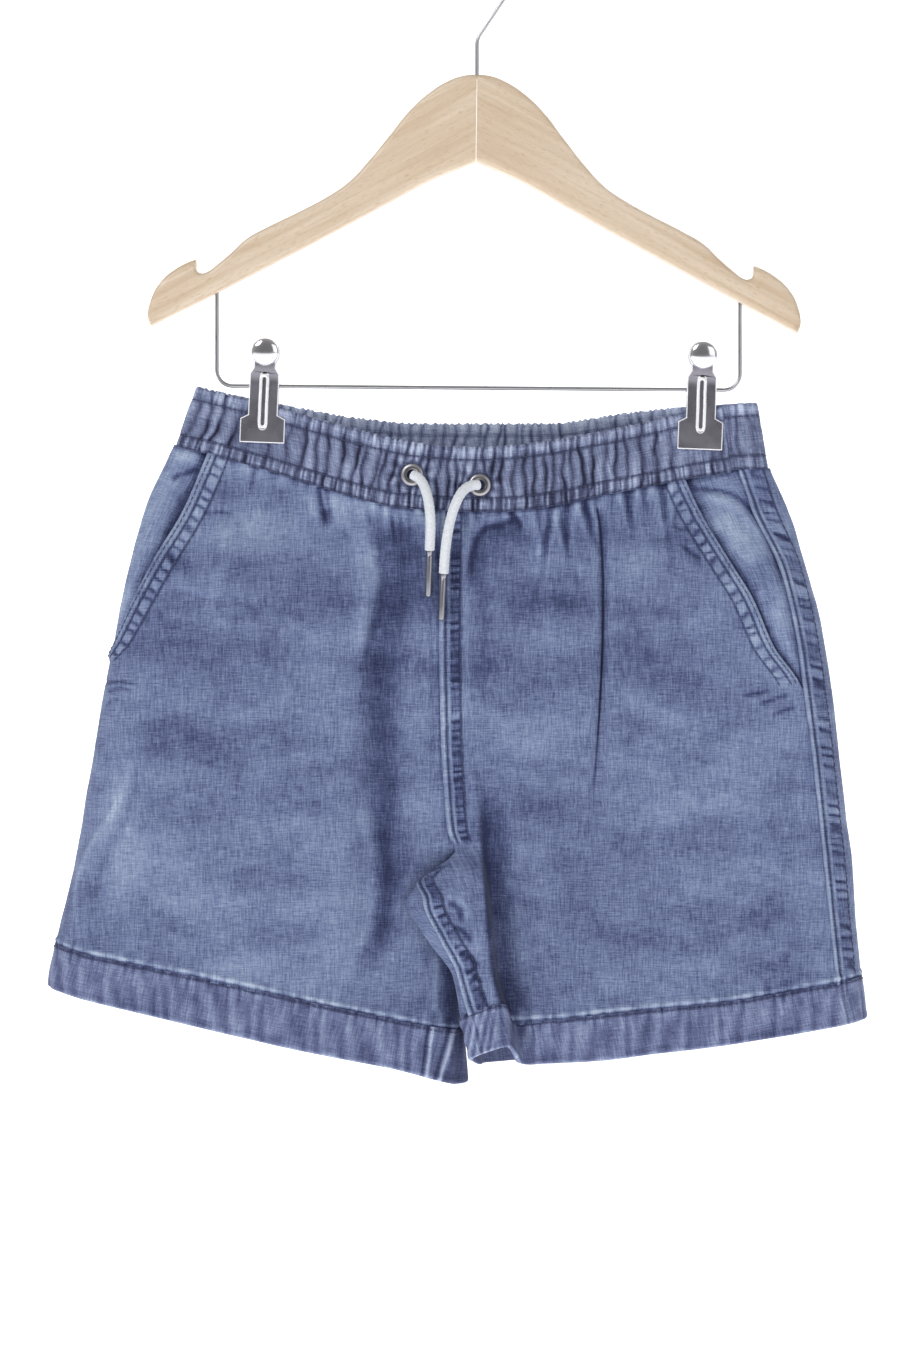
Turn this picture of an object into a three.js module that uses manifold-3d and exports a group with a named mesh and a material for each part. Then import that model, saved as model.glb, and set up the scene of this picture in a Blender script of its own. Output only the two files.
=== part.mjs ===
// Child's pull-on denim shorts on a wooden clip hanger, as the real pieces.
// Millimetres, +Z up. The front of the shorts faces -Y, and "left" is the side at -X.
// The origin is the inside top of the hook, where a rail carries the hanger.
import * as THREE from 'three';
import { mergeVertices } from 'three/addons/utils/BufferGeometryUtils.js';
import Module from 'manifold-3d';

const wasm = await Module();
wasm.setup();

// Thickness of each wall, and the gap kept between two pieces that meet.
const DENIM = 1.4;
const BAND = 2.6;
const HEM = 2.2;
const SEAM_GAP = 0.3;

// Raised seam allowances: the ridge at the seam, the felled band beside it, and its width.
const RIDGE = 1.1;
const FELL = 0.5;
const FELL_WIDTH = 9.5;
const POCKET_BAND = 10.5;

// A leg's height runs from 0 at the waist seam through the crotch to 1 at the hem's stitch line.
const CROTCH = 0.65;
const HEM_END = 1.1;

// Heights of the lines that go round each half, at places along X.
const LINES_LEFT = [
  { x: -214, waist: -258, waistBack: -258, crotch: -424, stitch: -508.5, bottom: -531 },
  { x: -190, waist: -258, waistBack: -258, crotch: -427.5, stitch: -515, bottom: -537.5 },
  { x: -165, waist: -259, waistBack: -259, crotch: -432, stitch: -520, bottom: -543.5 },
  { x: -140, waist: -264, waistBack: -264, crotch: -437, stitch: -525, bottom: -549.5 },
  { x: -113, waist: -271, waistBack: -268.5, crotch: -442, stitch: -531, bottom: -556 },
  { x: -88, waist: -278.5, waistBack: -273, crotch: -447, stitch: -536.5, bottom: -561.5 },
  { x: -63, waist: -286.5, waistBack: -277, crotch: -452, stitch: -542, bottom: -566.5 },
  { x: -38, waist: -292.5, waistBack: -280, crotch: -457, stitch: -547.5, bottom: -572 },
  { x: -11, waist: -294.5, waistBack: -281.5, crotch: -462, stitch: -553, bottom: -580 },
];
const LINES_RIGHT = [
  { x: -11, waist: -294.5, waistBack: -281.5, crotch: -462, stitch: -549, bottom: -569.5 },
  { x: 11, waist: -294.5, waistBack: -281.5, crotch: -460.5, stitch: -548.5, bottom: -569.5 },
  { x: 36, waist: -292, waistBack: -281.5, crotch: -457.5, stitch: -546.5, bottom: -568 },
  { x: 61, waist: -286.5, waistBack: -279.5, crotch: -454, stitch: -544, bottom: -566.5 },
  { x: 86, waist: -281.5, waistBack: -276.5, crotch: -450.5, stitch: -541.5, bottom: -563.5 },
  { x: 111, waist: -276.7, waistBack: -274, crotch: -447, stitch: -539, bottom: -560.5 },
  { x: 136, waist: -273.5, waistBack: -273, crotch: -443.5, stitch: -536, bottom: -557 },
  { x: 165, waist: -273, waistBack: -273, crotch: -440.5, stitch: -530.5, bottom: -552 },
  { x: 195, waist: -273, waistBack: -273, crotch: -438, stitch: -525, bottom: -546.5 },
];

// Outline of the cloth from the front, and the rise seam down its middle.
const OUTLINE = [
  { z: -547, left: -215, right: 195 },
  { z: -530, left: -214, right: 192.5 },
  { z: -510, left: -210.5, right: 190.5 },
  { z: -470, left: -201, right: 187.5 },
  { z: -430, left: -194, right: 182.5 },
  { z: -390, left: -187, right: 178 },
  { z: -350, left: -179.5, right: 172 },
  { z: -310, left: -170.5, right: 161.5 },
  { z: -290, left: -164.5, right: 154.5 },
  { z: -270, left: -155.5, right: 146.5 },
  { z: -258, left: -150.5, right: 145.5 },
];
const RISE = [
  { z: -462, x: -11, front: -10.8, back: -7.2 },
  { z: -452, x: -14.5, front: -11, back: -3 },
  { z: -435, x: -16, front: -12, back: 3 },
  { z: -404, x: -17.7, front: -13.5, back: 9 },
  { z: -352, x: -18.5, front: -14.5, back: 13 },
  { z: -294, x: -17.7, front: -13, back: 14 },
];

// Depth of the body in front of and behind the side seams, by height.
const DEPTH = [
  { v: 0, front: 10, back: 10 },
  { v: 0.15, front: 13, back: 12 },
  { v: 0.35, front: 15.5, back: 14 },
  { v: 0.65, front: 16, back: 16 },
  { v: 1, front: 18, back: 17 },
  { v: 1.1, front: 19, back: 18 },
];
// Half the space between the front and back of the waistband: the two clips pinch it shut.
const WAIST_GAP = [
  { x: -152, half: 5 },
  { x: -134, half: 5 },
  { x: -122, half: 1.6 },
  { x: -92, half: 1.6 },
  { x: -78, half: 5 },
  { x: -50, half: 10 },
  { x: -15, half: 13 },
  { x: 25, half: 12.5 },
  { x: 60, half: 9.5 },
  { x: 85, half: 4.5 },
  { x: 97, half: 1.6 },
  { x: 127, half: 1.6 },
  { x: 136, half: 4.5 },
  { x: 147, half: 4.5 },
];

// Inner ends of the two legs below the crotch. The right leg's spare cloth folds forward
// over the left leg as a nose, with a ridge and a valley beside it.
const INNER_LEFT = [
  { z: -582, tipX: -5.5, tipY: 8, edgeX: -21, edgeY: -10, backX: -14, backY: 13 },
  { z: -550, tipX: -7, tipY: 7, edgeX: -19, edgeY: -8, backX: -15, backY: 12.5 },
  { z: -510, tipX: -8.5, tipY: 4, edgeX: -17, edgeY: -7, backX: -15, backY: 9.5 },
  { z: -480, tipX: -10, tipY: 0, edgeX: -16.5, edgeY: -6.6, backX: -15, backY: 5 },
  { z: -466, tipX: -11.6, tipY: -6, edgeX: -16, edgeY: -8.6, backX: -15, backY: -3 },
  { z: -462, tipX: -12, tipY: -9, edgeX: -14.5, edgeY: -11, backX: -14.5, backY: -7 },
];
const INNER_RIGHT = [
  { z: -570, tipX: -2.5, tipY: -12, underX: 1, underY: -6, kneeX: 3, kneeY: 1, wrap: 9 },
  { z: -551, tipX: -7.5, tipY: -13, underX: -3, underY: -7, kneeX: 0, kneeY: 0, wrap: 8 },
  { z: -527, tipX: -11.5, tipY: -15, underX: -5, underY: -9.5, kneeX: -1, kneeY: -2, wrap: 6 },
  { z: -508, tipX: -24, tipY: -17, underX: -13, underY: -12.5, kneeX: -2.5, kneeY: -4, wrap: 8 },
  { z: -489, tipX: -34, tipY: -17.5, underX: -20, underY: -13, kneeX: -3.5, kneeY: -5, wrap: 8 },
  { z: -475, tipX: -23.5, tipY: -15.5, underX: -14, underY: -12, kneeX: -4, kneeY: -3.5, wrap: 1 },
  { z: -466, tipX: -12.5, tipY: -12.4, underX: -8, underY: -9, kneeX: -3, kneeY: -2, wrap: 0 },
  { z: -462, tipX: -10, tipY: -9, underX: -7.5, underY: -7, kneeX: -2, kneeY: 0, wrap: 0 },
];
const RIDGE_RIGHT = [
  { z: -570, ridgeX: 15.5, ridgeY: -21, valleyX: 22, valleyY: -8 },
  { z: -551, ridgeX: 12, ridgeY: -21, valleyX: 18.5, valleyY: -8 },
  { z: -527, ridgeX: 6.5, ridgeY: -21.5, valleyX: 13.5, valleyY: -8 },
  { z: -508, ridgeX: 5, ridgeY: -22, valleyX: 12, valleyY: -8 },
  { z: -489, ridgeX: 3, ridgeY: -22, valleyX: 9.5, valleyY: -9 },
  { z: -475, ridgeX: 1.5, ridgeY: -19.5, valleyX: 7, valleyY: -10 },
  { z: -462, ridgeX: 0.5, ridgeY: -13, valleyX: 5, valleyY: -10 },
  { z: -440, ridgeX: -1.5, ridgeY: -13.5, valleyX: 3.5, valleyY: -11.5 },
  { z: -400, ridgeX: -3, ridgeY: -14.5, valleyX: 3, valleyY: -14.5 },
  { z: -294, ridgeX: -3, ridgeY: -13, valleyX: 3, valleyY: -13 },
];
const NOSE_TIP_LIFT = 3;
const NOSE_RIDGE_LIFT = 10;

// Seams that are seen from the front, as X at heights. The left side seam lies just behind
// the outline, at SIDE_BEHIND along the cloth.
const SEAMS_RIGHT = [
  { z: -550, side: 179.7, pocket: 179.7 },
  { z: -418, side: 166, pocket: 166 },
  { z: -384, side: 161.6, pocket: 161.6 },
  { z: -361, side: 158.5, pocket: 147 },
  { z: -338, side: 154, pocket: 137 },
  { z: -321, side: 149.5, pocket: 129.5 },
  { z: -294, side: 137, pocket: 111.5 },
  { z: -273, side: 131, pocket: 102 },
];
const SEAMS_LEFT = [
  { z: -362, pocket: -180.5 },
  { z: -340, pocket: -171 },
  { z: -318, pocket: -160 },
  { z: -294, pocket: -146.5 },
  { z: -258, pocket: -132 },
];
const SIDE_BEHIND = 4;
const POCKET_END_LEFT = -362;
const POCKET_CLOSED_LEFT = -371;
const FACING_LAP = 3;
const FACING_LAP_END = 0.5;
const FACING_DEPTH = 2;
const FACING_BULGE_LEFT = 1.5;
const FACING_BULGE_RIGHT = 3;
// Height fraction at which both pocket mouths have met their side seams.
const POCKET_END = 0.43;

// Main folds. Each runs from its top to its bottom with a bow to one side; a positive
// depth presses the cloth in and a negative one lifts it.
const FOLDS = [
  { face: 'front', xTop: 60, zTop: -290, xBottom: 55.5, zBottom: -464, bow: 4, width: 2.6, depth: 2.4 },
  { face: 'front', xTop: 68, zTop: -300, xBottom: 64, zBottom: -450, bow: 4, width: 7, depth: -1.2 },
  { face: 'front', xTop: -40, zTop: -296, xBottom: -57, zBottom: -560, bow: -2, width: 10, depth: 4.5 },
  { face: 'front', xTop: -172, zTop: -420, xBottom: -190, zBottom: -515, bow: -14, width: 5, depth: -1.8 },
  { face: 'front', xTop: -100, zTop: -420, xBottom: -118, zBottom: -590, bow: 3, width: 14, depth: 2.2 },
  { face: 'front', xTop: 84, zTop: -400, xBottom: 92, zBottom: -600, bow: -3, width: 12, depth: 2.4 },
  { face: 'front', xTop: 128, zTop: -430, xBottom: 142, zBottom: -600, bow: 3, width: 12, depth: 2 },
  { face: 'front', xTop: 22, zTop: -300, xBottom: 28, zBottom: -440, bow: 2, width: 9, depth: 1.6 },
  { face: 'back', xTop: 62, zTop: -290, xBottom: 76, zBottom: -600, bow: 4, width: 11, depth: 3.2 },
  { face: 'back', xTop: -48, zTop: -290, xBottom: -70, zBottom: -600, bow: -4, width: 11, depth: 3.4 },
  { face: 'back', xTop: -112, zTop: -330, xBottom: -140, zBottom: -600, bow: -3, width: 12, depth: 2.4 },
  { face: 'back', xTop: 112, zTop: -340, xBottom: 138, zBottom: -600, bow: 3, width: 12, depth: 2.4 },
];
const PLEAT_X = 61;

// Waistband: its top line, its bottom line, and the spacing of its gathers.
const BAND_LINES = [
  { t: 0, frontZ: -231.5, backZ: -231.5 },
  { t: 0.14, frontZ: -241.5, backZ: -239.5 },
  { t: 0.27, frontZ: -252, backZ: -246 },
  { t: 0.4, frontZ: -260.5, backZ: -249 },
  { t: 0.5, frontZ: -262.5, backZ: -249 },
  { t: 0.63, frontZ: -259, backZ: -249 },
  { t: 0.76, frontZ: -252, backZ: -244.5 },
  { t: 0.89, frontZ: -243.5, backZ: -241 },
  { t: 1, frontZ: -239.5, backZ: -239.5 },
];
const BAND_TOP_LEFT = -140;
const BAND_TOP_RIGHT = 140;
const BAND_BOTTOM_LEFT = -150.5;
const BAND_BOTTOM_RIGHT = 145.5;
// Where the band's own side seams lie: behind the left outline and before the right one.
const BAND_SIDE_LEFT = 4;
const BAND_SIDE_RIGHT = -19;
const BAND_STEPS = 28;
const BAND_ROWS = [
  { w: 0, gather: 0.6 },
  { w: 0.2, gather: 0.25 },
  { w: 0.5, gather: 1 },
  { w: 0.79, gather: 0.3 },
  { w: 1, gather: 0.5 },
];
const GATHER_HEIGHT = 1.5;
const GATHERS_FRONT = [
  { x: -152, pitch: 6 },
  { x: -118, pitch: 7.5 },
  { x: -75, pitch: 7 },
  { x: -50, pitch: 4.6 },
  { x: 45, pitch: 4.5 },
  { x: 62, pitch: 7.5 },
  { x: 100, pitch: 7 },
  { x: 112, pitch: 4.8 },
  { x: 147, pitch: 5 },
];
const GATHERS_BACK = [
  { x: -152, pitch: 5.6 },
  { x: 0, pitch: 5 },
  { x: 147, pitch: 5.6 },
];

// Eyelets and drawcord: the cord's points are where it hangs in front of the fly.
const EYELET_OUTER = 5.4;
const EYELET_INNER = 3.1;
const EYELET_THICK = 1.1;
const EYELET_SIDES = 16;
const EYELETS = [
  { name: 'eyelet_left', x: -32.3, z: -276.2 },
  { name: 'eyelet_right', x: 1.2, z: -281.3 },
];
const CORD = 5;
const CORD_LEFT = [
  [-32.3, -16.4, -276.2],
  [-29.32, -18.19, -277.84],
  [-27.13, -19.99, -280.43],
  [-25.65, -21.29, -283.73],
  [-24.61, -22.12, -287.34],
  [-23.89, -22.56, -291.1],
  [-23.41, -22.67, -294.93],
  [-23.14, -22.49, -298.77],
  [-23.07, -22.06, -302.6],
  [-23.18, -21.43, -306.4],
  [-23.38, -20.72, -310.18],
  [-23.5, -20.2, -314],
];
const CORD_RIGHT = [
  [1.2, -17.2, -281.3],
  [-3.23, -18.89, -281.89],
  [-6.76, -21.03, -284.27],
  [-9.37, -22.31, -288.08],
  [-11.29, -22.74, -292.46],
  [-12.75, -22.73, -297.05],
  [-13.88, -22.48, -301.72],
  [-14.77, -22.12, -306.43],
  [-15.45, -21.7, -311.17],
  [-15.97, -21.26, -315.94],
  [-16.34, -20.81, -320.71],
  [-16.6, -20.4, -325.5],
];
const AGLET = 3;
const AGLET_LENGTH = 23.5;
const AGLET_ROUND = 1.2;
const AGLET_SIDES = 10;

// Hanger: one wooden arm's outline by its distance from the middle and its drop below the
// highest point of the wood. Both arms tilt a little, the right one down.
const WOOD_TOP = -75.5;
const WOOD_THICK = 12;
const WOOD_ROUND = 2.5;
const WOOD_TILT = THREE.MathUtils.degToRad(0.65);
const ARM_TOP = [
  { out: 0.2, drop: 0.3 },
  { out: 7, drop: 1 },
  { out: 13.5, drop: 3.3 },
  { out: 23.5, drop: 9.5 },
  { out: 33.5, drop: 18.8 },
  { out: 43.5, drop: 31.5 },
  { out: 53.5, drop: 44 },
  { out: 63.5, drop: 54.8 },
  { out: 73.5, drop: 61.8 },
  { out: 88.5, drop: 70 },
  { out: 103.5, drop: 77.5 },
  { out: 114, drop: 83.5 },
  { out: 122, drop: 91 },
  { out: 129, drop: 97 },
];
const ARM_NOTCH = [
  { out: 133.5, drop: 100.3 },
  { out: 136.5, drop: 101 },
  { out: 138.6, drop: 99.6 },
  { out: 139.2, drop: 94.2 },
  { out: 143, drop: 95.6 },
  { out: 149, drop: 98.8 },
  { out: 157.5, drop: 106.5 },
  { out: 161.5, drop: 114.5 },
  { out: 163, drop: 123 },
  { out: 161.5, drop: 127.5 },
];
const ARM_UNDER = [
  { out: 153.5, drop: 123.2 },
  { out: 133.5, drop: 113 },
  { out: 103.5, drop: 97 },
  { out: 73.5, drop: 81 },
  { out: 43.5, drop: 64.5 },
  { out: 23.5, drop: 53.5 },
  { out: 0.2, drop: 43.6 },
];

// Hook and clip bar, of the same wire.
const WIRE = 2;
const WIRE_SIDES = 8;
const HOOK_RADIUS = 21;
const HOOK_CENTRE = WIRE / 2 - HOOK_RADIUS;
const HOOK_STEM_TOP = -57.5;
const HOOK_START = THREE.MathUtils.degToRad(-34);
const HOOK_END = THREE.MathUtils.degToRad(200);
const HOOK_STEPS = 16;
const BAR_LEFT = -130;
const BAR_RIGHT = 131.5;
const BAR_HEIGHT_LEFT = -231;
const BAR_HEIGHT_RIGHT = -233;
const BAR_ROUND = 8;

// Clips: a sprung sheet that goes over the bar, with a knob, a neck, a slide and a foot.
const SHEET = 1;
const CLIP_LEAN = THREE.MathUtils.degToRad(2.2);
const CLIPS = [
  { name: 'clip_left', x: -106.3, bar: -231.2, toKnob: 17, toFoot: -28.5 },
  { name: 'clip_right', x: 112.2, bar: -232.8, toKnob: 17, toFoot: -30.3 },
];
const KNOB_RADIUS = 7.4;
const NECK_HALF = 5.5;
const SLIDE_HALF = 7.4;
const FOOT_HALF = 11.25;
const SLOT_HALF = 1.7;

const lerp = (a, b, t) => a + (b - a) * t;
const clamp01 = (t) => Math.min(1, Math.max(0, t));
const smooth = (t) => clamp01(t) ** 2 * (3 - 2 * clamp01(t));

// Reads one column of a table at a place along its key column. The slope at a row is never
// steeper than its neighbours allow, so the curve stays between the rows' values.
function read(table, key, at, name) {
  const last = table.length - 1;
  if (at <= table[0][key]) return table[0][name];
  if (at >= table[last][key]) return table[last][name];
  let i = 0;
  while (at > table[i + 1][key]) i += 1;
  const rise = (j) => (table[j + 1][name] - table[j][name]) / (table[j + 1][key] - table[j][key]);
  const slope = (j) => {
    if (j === 0) return rise(0);
    if (j === last) return rise(last - 1);
    const [before, after] = [rise(j - 1), rise(j)];
    return before * after <= 0 ? 0 : (2 * before * after) / (before + after);
  };
  const span = table[i + 1][key] - table[i][key];
  const t = (at - table[i][key]) / span;
  const [a, b] = [table[i][name], table[i + 1][name]];
  const [m, n] = [slope(i) * span, slope(i + 1) * span];
  return a + t * (m + t * (3 * (b - a) - 2 * m - n + t * (2 * (a - b) + m + n)));
}

const LEFT = { name: 'left', dir: -1, lines: LINES_LEFT, frontStart: -44, backStart: -43 };
const RIGHT = { name: 'right', dir: 1, lines: LINES_RIGHT, frontStart: 34, backStart: 22 };

// Height of the cloth at a place along X, for a height fraction down the leg.
function heightAt(leg, x, face, v) {
  const line = (name) => read(leg.lines, 'x', x, name);
  const waist = line(face === 'back' ? 'waistBack' : 'waist');
  if (v < CROTCH) return lerp(waist, line('crotch'), v / CROTCH);
  if (v < 1) return lerp(line('crotch'), line('stitch'), (v - CROTCH) / (1 - CROTCH));
  return lerp(line('stitch'), line('bottom'), (v - 1) / (HEM_END - 1));
}

// X of the outline at a height fraction, at the middle of the cloth's thickness.
function outlineX(leg, v) {
  let x = leg.dir * 180;
  for (let i = 0; i < 6; i += 1) {
    x = read(OUTLINE, 'z', heightAt(leg, x, 'front', v), leg.name) - (leg.dir * DENIM) / 2;
  }
  return x;
}

const roundOff = (distance, over) => Math.sqrt(1 - (1 - clamp01(distance / over)) ** 2);
const waistHalf = (x, distance) => read(WAIST_GAP, 'x', x, 'half') * roundOff(distance, 9);

// How far one face of a leg stands out from the middle plane.
function faceDepth(leg, x, v, face, innerX, innerDepth, edgeX) {
  const fromEdge = Math.abs(edgeX - x);
  const q = Math.abs(x - innerX) / Math.abs(edgeX - innerX);
  const full = read(DEPTH, 'v', v, face);
  const body = lerp(innerDepth, full, smooth(q / 0.3)) * roundOff(fromEdge, 20);
  return lerp(waistHalf(x, fromEdge), body, smooth(v / 0.25));
}

// Points of one leg's section: from its inner end along the front, round the side and back.
const FACE_STEPS = 14;
const RISE_FLAT = 4;
const RISE_FOOT = -11;
function sectionPoints(leg, v) {
  const edgeX = outlineX(leg, v);
  const z = heightAt(leg, RISE_FOOT, 'front', v);
  const rise = (name) => read(RISE, 'z', z, name);
  const open = v < CROTCH;
  const innerX = open ? rise('x') + (leg.dir * SEAM_GAP) / 2 : rise('x');
  const points = [];
  const put = (x, y, lift = 0) => points.push(new THREE.Vector3(x, y, lift));
  if (leg === RIGHT) {
    const inner = (name) => read(INNER_RIGHT, 'z', z, name);
    const ridge = (name) => read(RIDGE_RIGHT, 'z', z, name);
    if (open) {
      put(innerX, rise('front'));
      put(innerX + RISE_FLAT, rise('front'));
    } else {
      put(inner('tipX'), inner('tipY'), NOSE_TIP_LIFT);
      const bulge = Math.min(2.5, Math.abs(ridge('ridgeX') - inner('tipX')) * 0.15);
      const x = lerp(inner('tipX'), ridge('ridgeX'), 0.4);
      put(x, lerp(inner('tipY'), ridge('ridgeY'), 0.6) - bulge, lerp(NOSE_TIP_LIFT, NOSE_RIDGE_LIFT, 0.6));
    }
    put(ridge('ridgeX'), ridge('ridgeY'), open ? 0 : NOSE_RIDGE_LIFT);
    put(ridge('valleyX'), ridge('valleyY'));
  } else {
    const inner = (name) => read(INNER_LEFT, 'z', z, name);
    if (open) {
      put(innerX, rise('front'));
      put(innerX - RISE_FLAT, rise('front'));
    } else {
      put(inner('tipX'), inner('tipY'));
      put(inner('edgeX'), inner('edgeY'));
    }
  }
  const across = (start, i) => lerp(start, edgeX, Math.sin((Math.PI / 2) * (i / FACE_STEPS)));
  const below = smooth((v - CROTCH) / 0.12);
  const frontDepth = lerp(-rise('front'), 8, below);
  const backDepth = lerp(Math.max(rise('back'), 4), 12, below);
  for (let i = 0; i < FACE_STEPS; i += 1) {
    const x = across(leg.frontStart, i);
    put(x, -faceDepth(leg, x, v, 'front', innerX, frontDepth, edgeX));
  }
  const edge = points.length;
  put(edgeX, 0);
  for (let i = FACE_STEPS - 1; i >= 0; i -= 1) {
    const x = across(leg.backStart, i);
    put(x, faceDepth(leg, x, v, 'back', innerX, backDepth, edgeX));
  }
  if (open) {
    put(innerX + leg.dir * RISE_FLAT, rise('back'));
    put(innerX, rise('back'));
  } else if (leg === RIGHT) {
    put(read(INNER_RIGHT, 'z', z, 'kneeX'), read(INNER_RIGHT, 'z', z, 'kneeY'));
    put(read(INNER_RIGHT, 'z', z, 'underX'), read(INNER_RIGHT, 'z', z, 'underY'));
  } else put(read(INNER_LEFT, 'z', z, 'backX'), read(INNER_LEFT, 'z', z, 'backY'));
  return { points, edge, closed: !open };
}

// A section as a measured curve. Places on it are lengths from the side outline: negative
// along the front, positive along the back.
const SPLIT = 6;
function measured({ points, edge, closed }) {
  const curve = new THREE.CatmullRomCurve3(points, closed, 'centripetal');
  const spans = closed ? points.length : points.length - 1;
  const path = [];
  for (let i = 0; i <= spans * SPLIT; i += 1) path.push(curve.getPoint(i / (spans * SPLIT)));
  const run = [0];
  for (let i = 1; i < path.length; i += 1) {
    const [a, b] = [path[i - 1], path[i]];
    run.push(run[i - 1] + Math.hypot(b.x - a.x, b.y - a.y));
  }
  const total = run[run.length - 1];
  const zero = run[edge * SPLIT];
  const at = (arc) => {
    let s = arc + zero;
    if (closed) s = ((s % total) + total) % total;
    s = Math.min(total, Math.max(0, s));
    let i = 1;
    while (i < run.length - 1 && run[i] < s) i += 1;
    return path[i - 1].clone().lerp(path[i], (s - run[i - 1]) / (run[i] - run[i - 1]));
  };
  // Length from the outline to where the front passes a given X.
  const arcAtX = (x) => {
    for (let i = edge * SPLIT; i > 0; i -= 1) {
      const [a, b] = [path[i], path[i - 1]];
      if ((a.x - x) * (b.x - x) <= 0 && a.x !== b.x) {
        return lerp(run[i], run[i - 1], (x - a.x) / (b.x - a.x)) - zero;
      }
    }
    return 0;
  };
  return { at, arcAtX, front: zero, back: total - zero, total };
}

const sections = new Map();
function section(leg, v) {
  const key = `${leg.name} ${v.toFixed(6)}`;
  if (!sections.has(key)) sections.set(key, measured(sectionPoints(leg, v)));
  return sections.get(key);
}

// How far the main folds press the cloth in at a place on one face.
function foldAt(x, z, face) {
  let press = 0;
  for (const fold of FOLDS) {
    if (fold.face !== face) continue;
    const along = new THREE.Vector2(fold.xBottom - fold.xTop, fold.zBottom - fold.zTop);
    const length = along.length();
    along.divideScalar(length);
    const from = new THREE.Vector2(x - fold.xTop, z - fold.zTop);
    const t = from.dot(along) / length;
    if (t <= 0 || t >= 1) continue;
    const aside = from.cross(along) * -1 - fold.bow * Math.sin(Math.PI * t);
    press += fold.depth * smooth(t / 0.2) * smooth((1 - t) / 0.3) * Math.exp(-((aside / fold.width) ** 2));
  }
  return press;
}

// The middle of the cloth at a length along a leg's section, folds included.
function clothPoint(leg, v, arc) {
  const ring = section(leg, v);
  const here = ring.at(arc);
  const face = arc > 0 && arc < ring.back ? 'back' : 'front';
  const z = heightAt(leg, here.x, face, v) + here.z * clamp01((v - CROTCH) / (1 - CROTCH));
  const fromSide = smooth((Math.abs(arc) - 12) / 20);
  const press = foldAt(here.x, z, face) * fromSide;
  return new THREE.Vector3(here.x, here.y + (face === 'front' ? press : -press), z);
}

// The direction out of the cloth.
const STEP_ARC = 0.7;
const STEP_V = 0.004;
function clothNormal(leg, v, arc) {
  const sameSide = (other) => (other < CROTCH) === (v < CROTCH) ? other : v;
  const ring = section(leg, v);
  const low = v < CROTCH ? Math.max(-ring.front, arc - STEP_ARC) : arc - STEP_ARC;
  const high = v < CROTCH ? Math.min(ring.back, arc + STEP_ARC) : arc + STEP_ARC;
  const along = clothPoint(leg, v, high).sub(clothPoint(leg, v, low));
  const up = clothPoint(leg, sameSide(v - STEP_V), arc).sub(clothPoint(leg, sameSide(v + STEP_V), arc));
  const out = along.cross(up).multiplyScalar(leg.dir);
  // Beside the rise seam the cloth faces straight forwards or back, so that its edges meet flat.
  if (v < CROTCH) out.x *= clamp01(Math.min(arc + ring.front, ring.back - arc) / RISE_FLAT - 0.2);
  return out.normalize();
}

// One closed solid between an outer and an inner grid of points. The inside may skip rows:
// insideRows lists the ones that it keeps. A closed wall's columns go all the way round.
function wall(outer, inner, { closed = false, flip = false, insideRows = outer.map((_, r) => r) } = {}) {
  const rows = outer.length;
  const columns = outer[0].length;
  const positions = [];
  const put = (row) => row.forEach((p) => positions.push(p.x, p.y, p.z));
  outer.forEach(put);
  insideRows.forEach((r) => put(inner[r]));
  const index = [];
  const spans = closed ? columns : columns - 1;
  const out = (r, c) => r * columns + (c % columns);
  const within = (k, c) => (rows + k) * columns + (c % columns);
  const face = (a, b, c) => (flip ? index.push(a, c, b) : index.push(a, b, c));
  const quad = (a, b, c, d) => {
    face(a, b, c);
    face(a, c, d);
  };
  for (let c = 0; c < spans; c += 1) {
    for (let r = 0; r < rows - 1; r += 1) quad(out(r, c), out(r + 1, c), out(r + 1, c + 1), out(r, c + 1));
    for (let k = 0; k < insideRows.length - 1; k += 1) {
      quad(within(k, c), within(k, c + 1), within(k + 1, c + 1), within(k + 1, c));
    }
    quad(out(0, c), out(0, c + 1), within(0, c + 1), within(0, c));
    const last = insideRows.length - 1;
    quad(out(rows - 1, c), within(last, c), within(last, c + 1), out(rows - 1, c + 1));
  }
  for (let k = 0; !closed && k < insideRows.length - 1; k += 1) {
    const [from, to] = [insideRows[k], insideRows[k + 1]];
    for (let r = from; r < to; r += 1) {
      face(out(r, 0), within(k, 0), out(r + 1, 0));
      face(out(r, spans), out(r + 1, spans), within(k, spans));
    }
    face(out(to, 0), within(k, 0), within(k + 1, 0));
    face(out(to, spans), within(k + 1, spans), within(k, spans));
  }
  const geometry = new THREE.BufferGeometry();
  geometry.setAttribute('position', new THREE.Float32BufferAttribute(positions, 3));
  geometry.setIndex(index);
  geometry.computeVertexNormals();
  return geometry;
}

function finish(color, roughness, metalness = 0) {
  return new THREE.MeshStandardMaterial({ color, roughness, metalness });
}
const denim = finish(0x7480a4, 0.9);
const denimDark = finish(0x686f92, 0.9);
const cotton = finish(0xf2f3f5, 0.8);
const eyeletMetal = finish(0x9a9690, 0.35, 1);
const agletMetal = finish(0x96908a, 0.3, 1);
const beech = finish(0xdfcab2, 0.5);
const steelWire = finish(0x8f9092, 0.3, 1);
const clipMetal = finish(0x6f6d6b, 0.25, 1);

const shorts = new THREE.Group();
function add(name, geometry, material) {
  const mesh = new THREE.Mesh(geometry, material);
  mesh.name = name;
  shorts.add(mesh);
  return mesh;
}

// Stations across a panel: each has its place for a row and the height of its outer face,
// and the stretch after it is split in equal parts.
function spread(stations, v) {
  const placed = stations.map((station) => ({ ...station, arc: station.place(v), raise: station.raise(v) }));
  const columns = [];
  placed.forEach((station, i) => {
    columns.push({ arc: station.arc, raise: station.raise });
    const next = placed[i + 1];
    for (let k = 1; next && k < station.parts; k += 1) {
      columns.push({
        arc: lerp(station.arc, next.arc, k / station.parts),
        raise: lerp(station.raise, next.raise, k / station.parts),
      });
    }
  });
  return columns;
}

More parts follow.
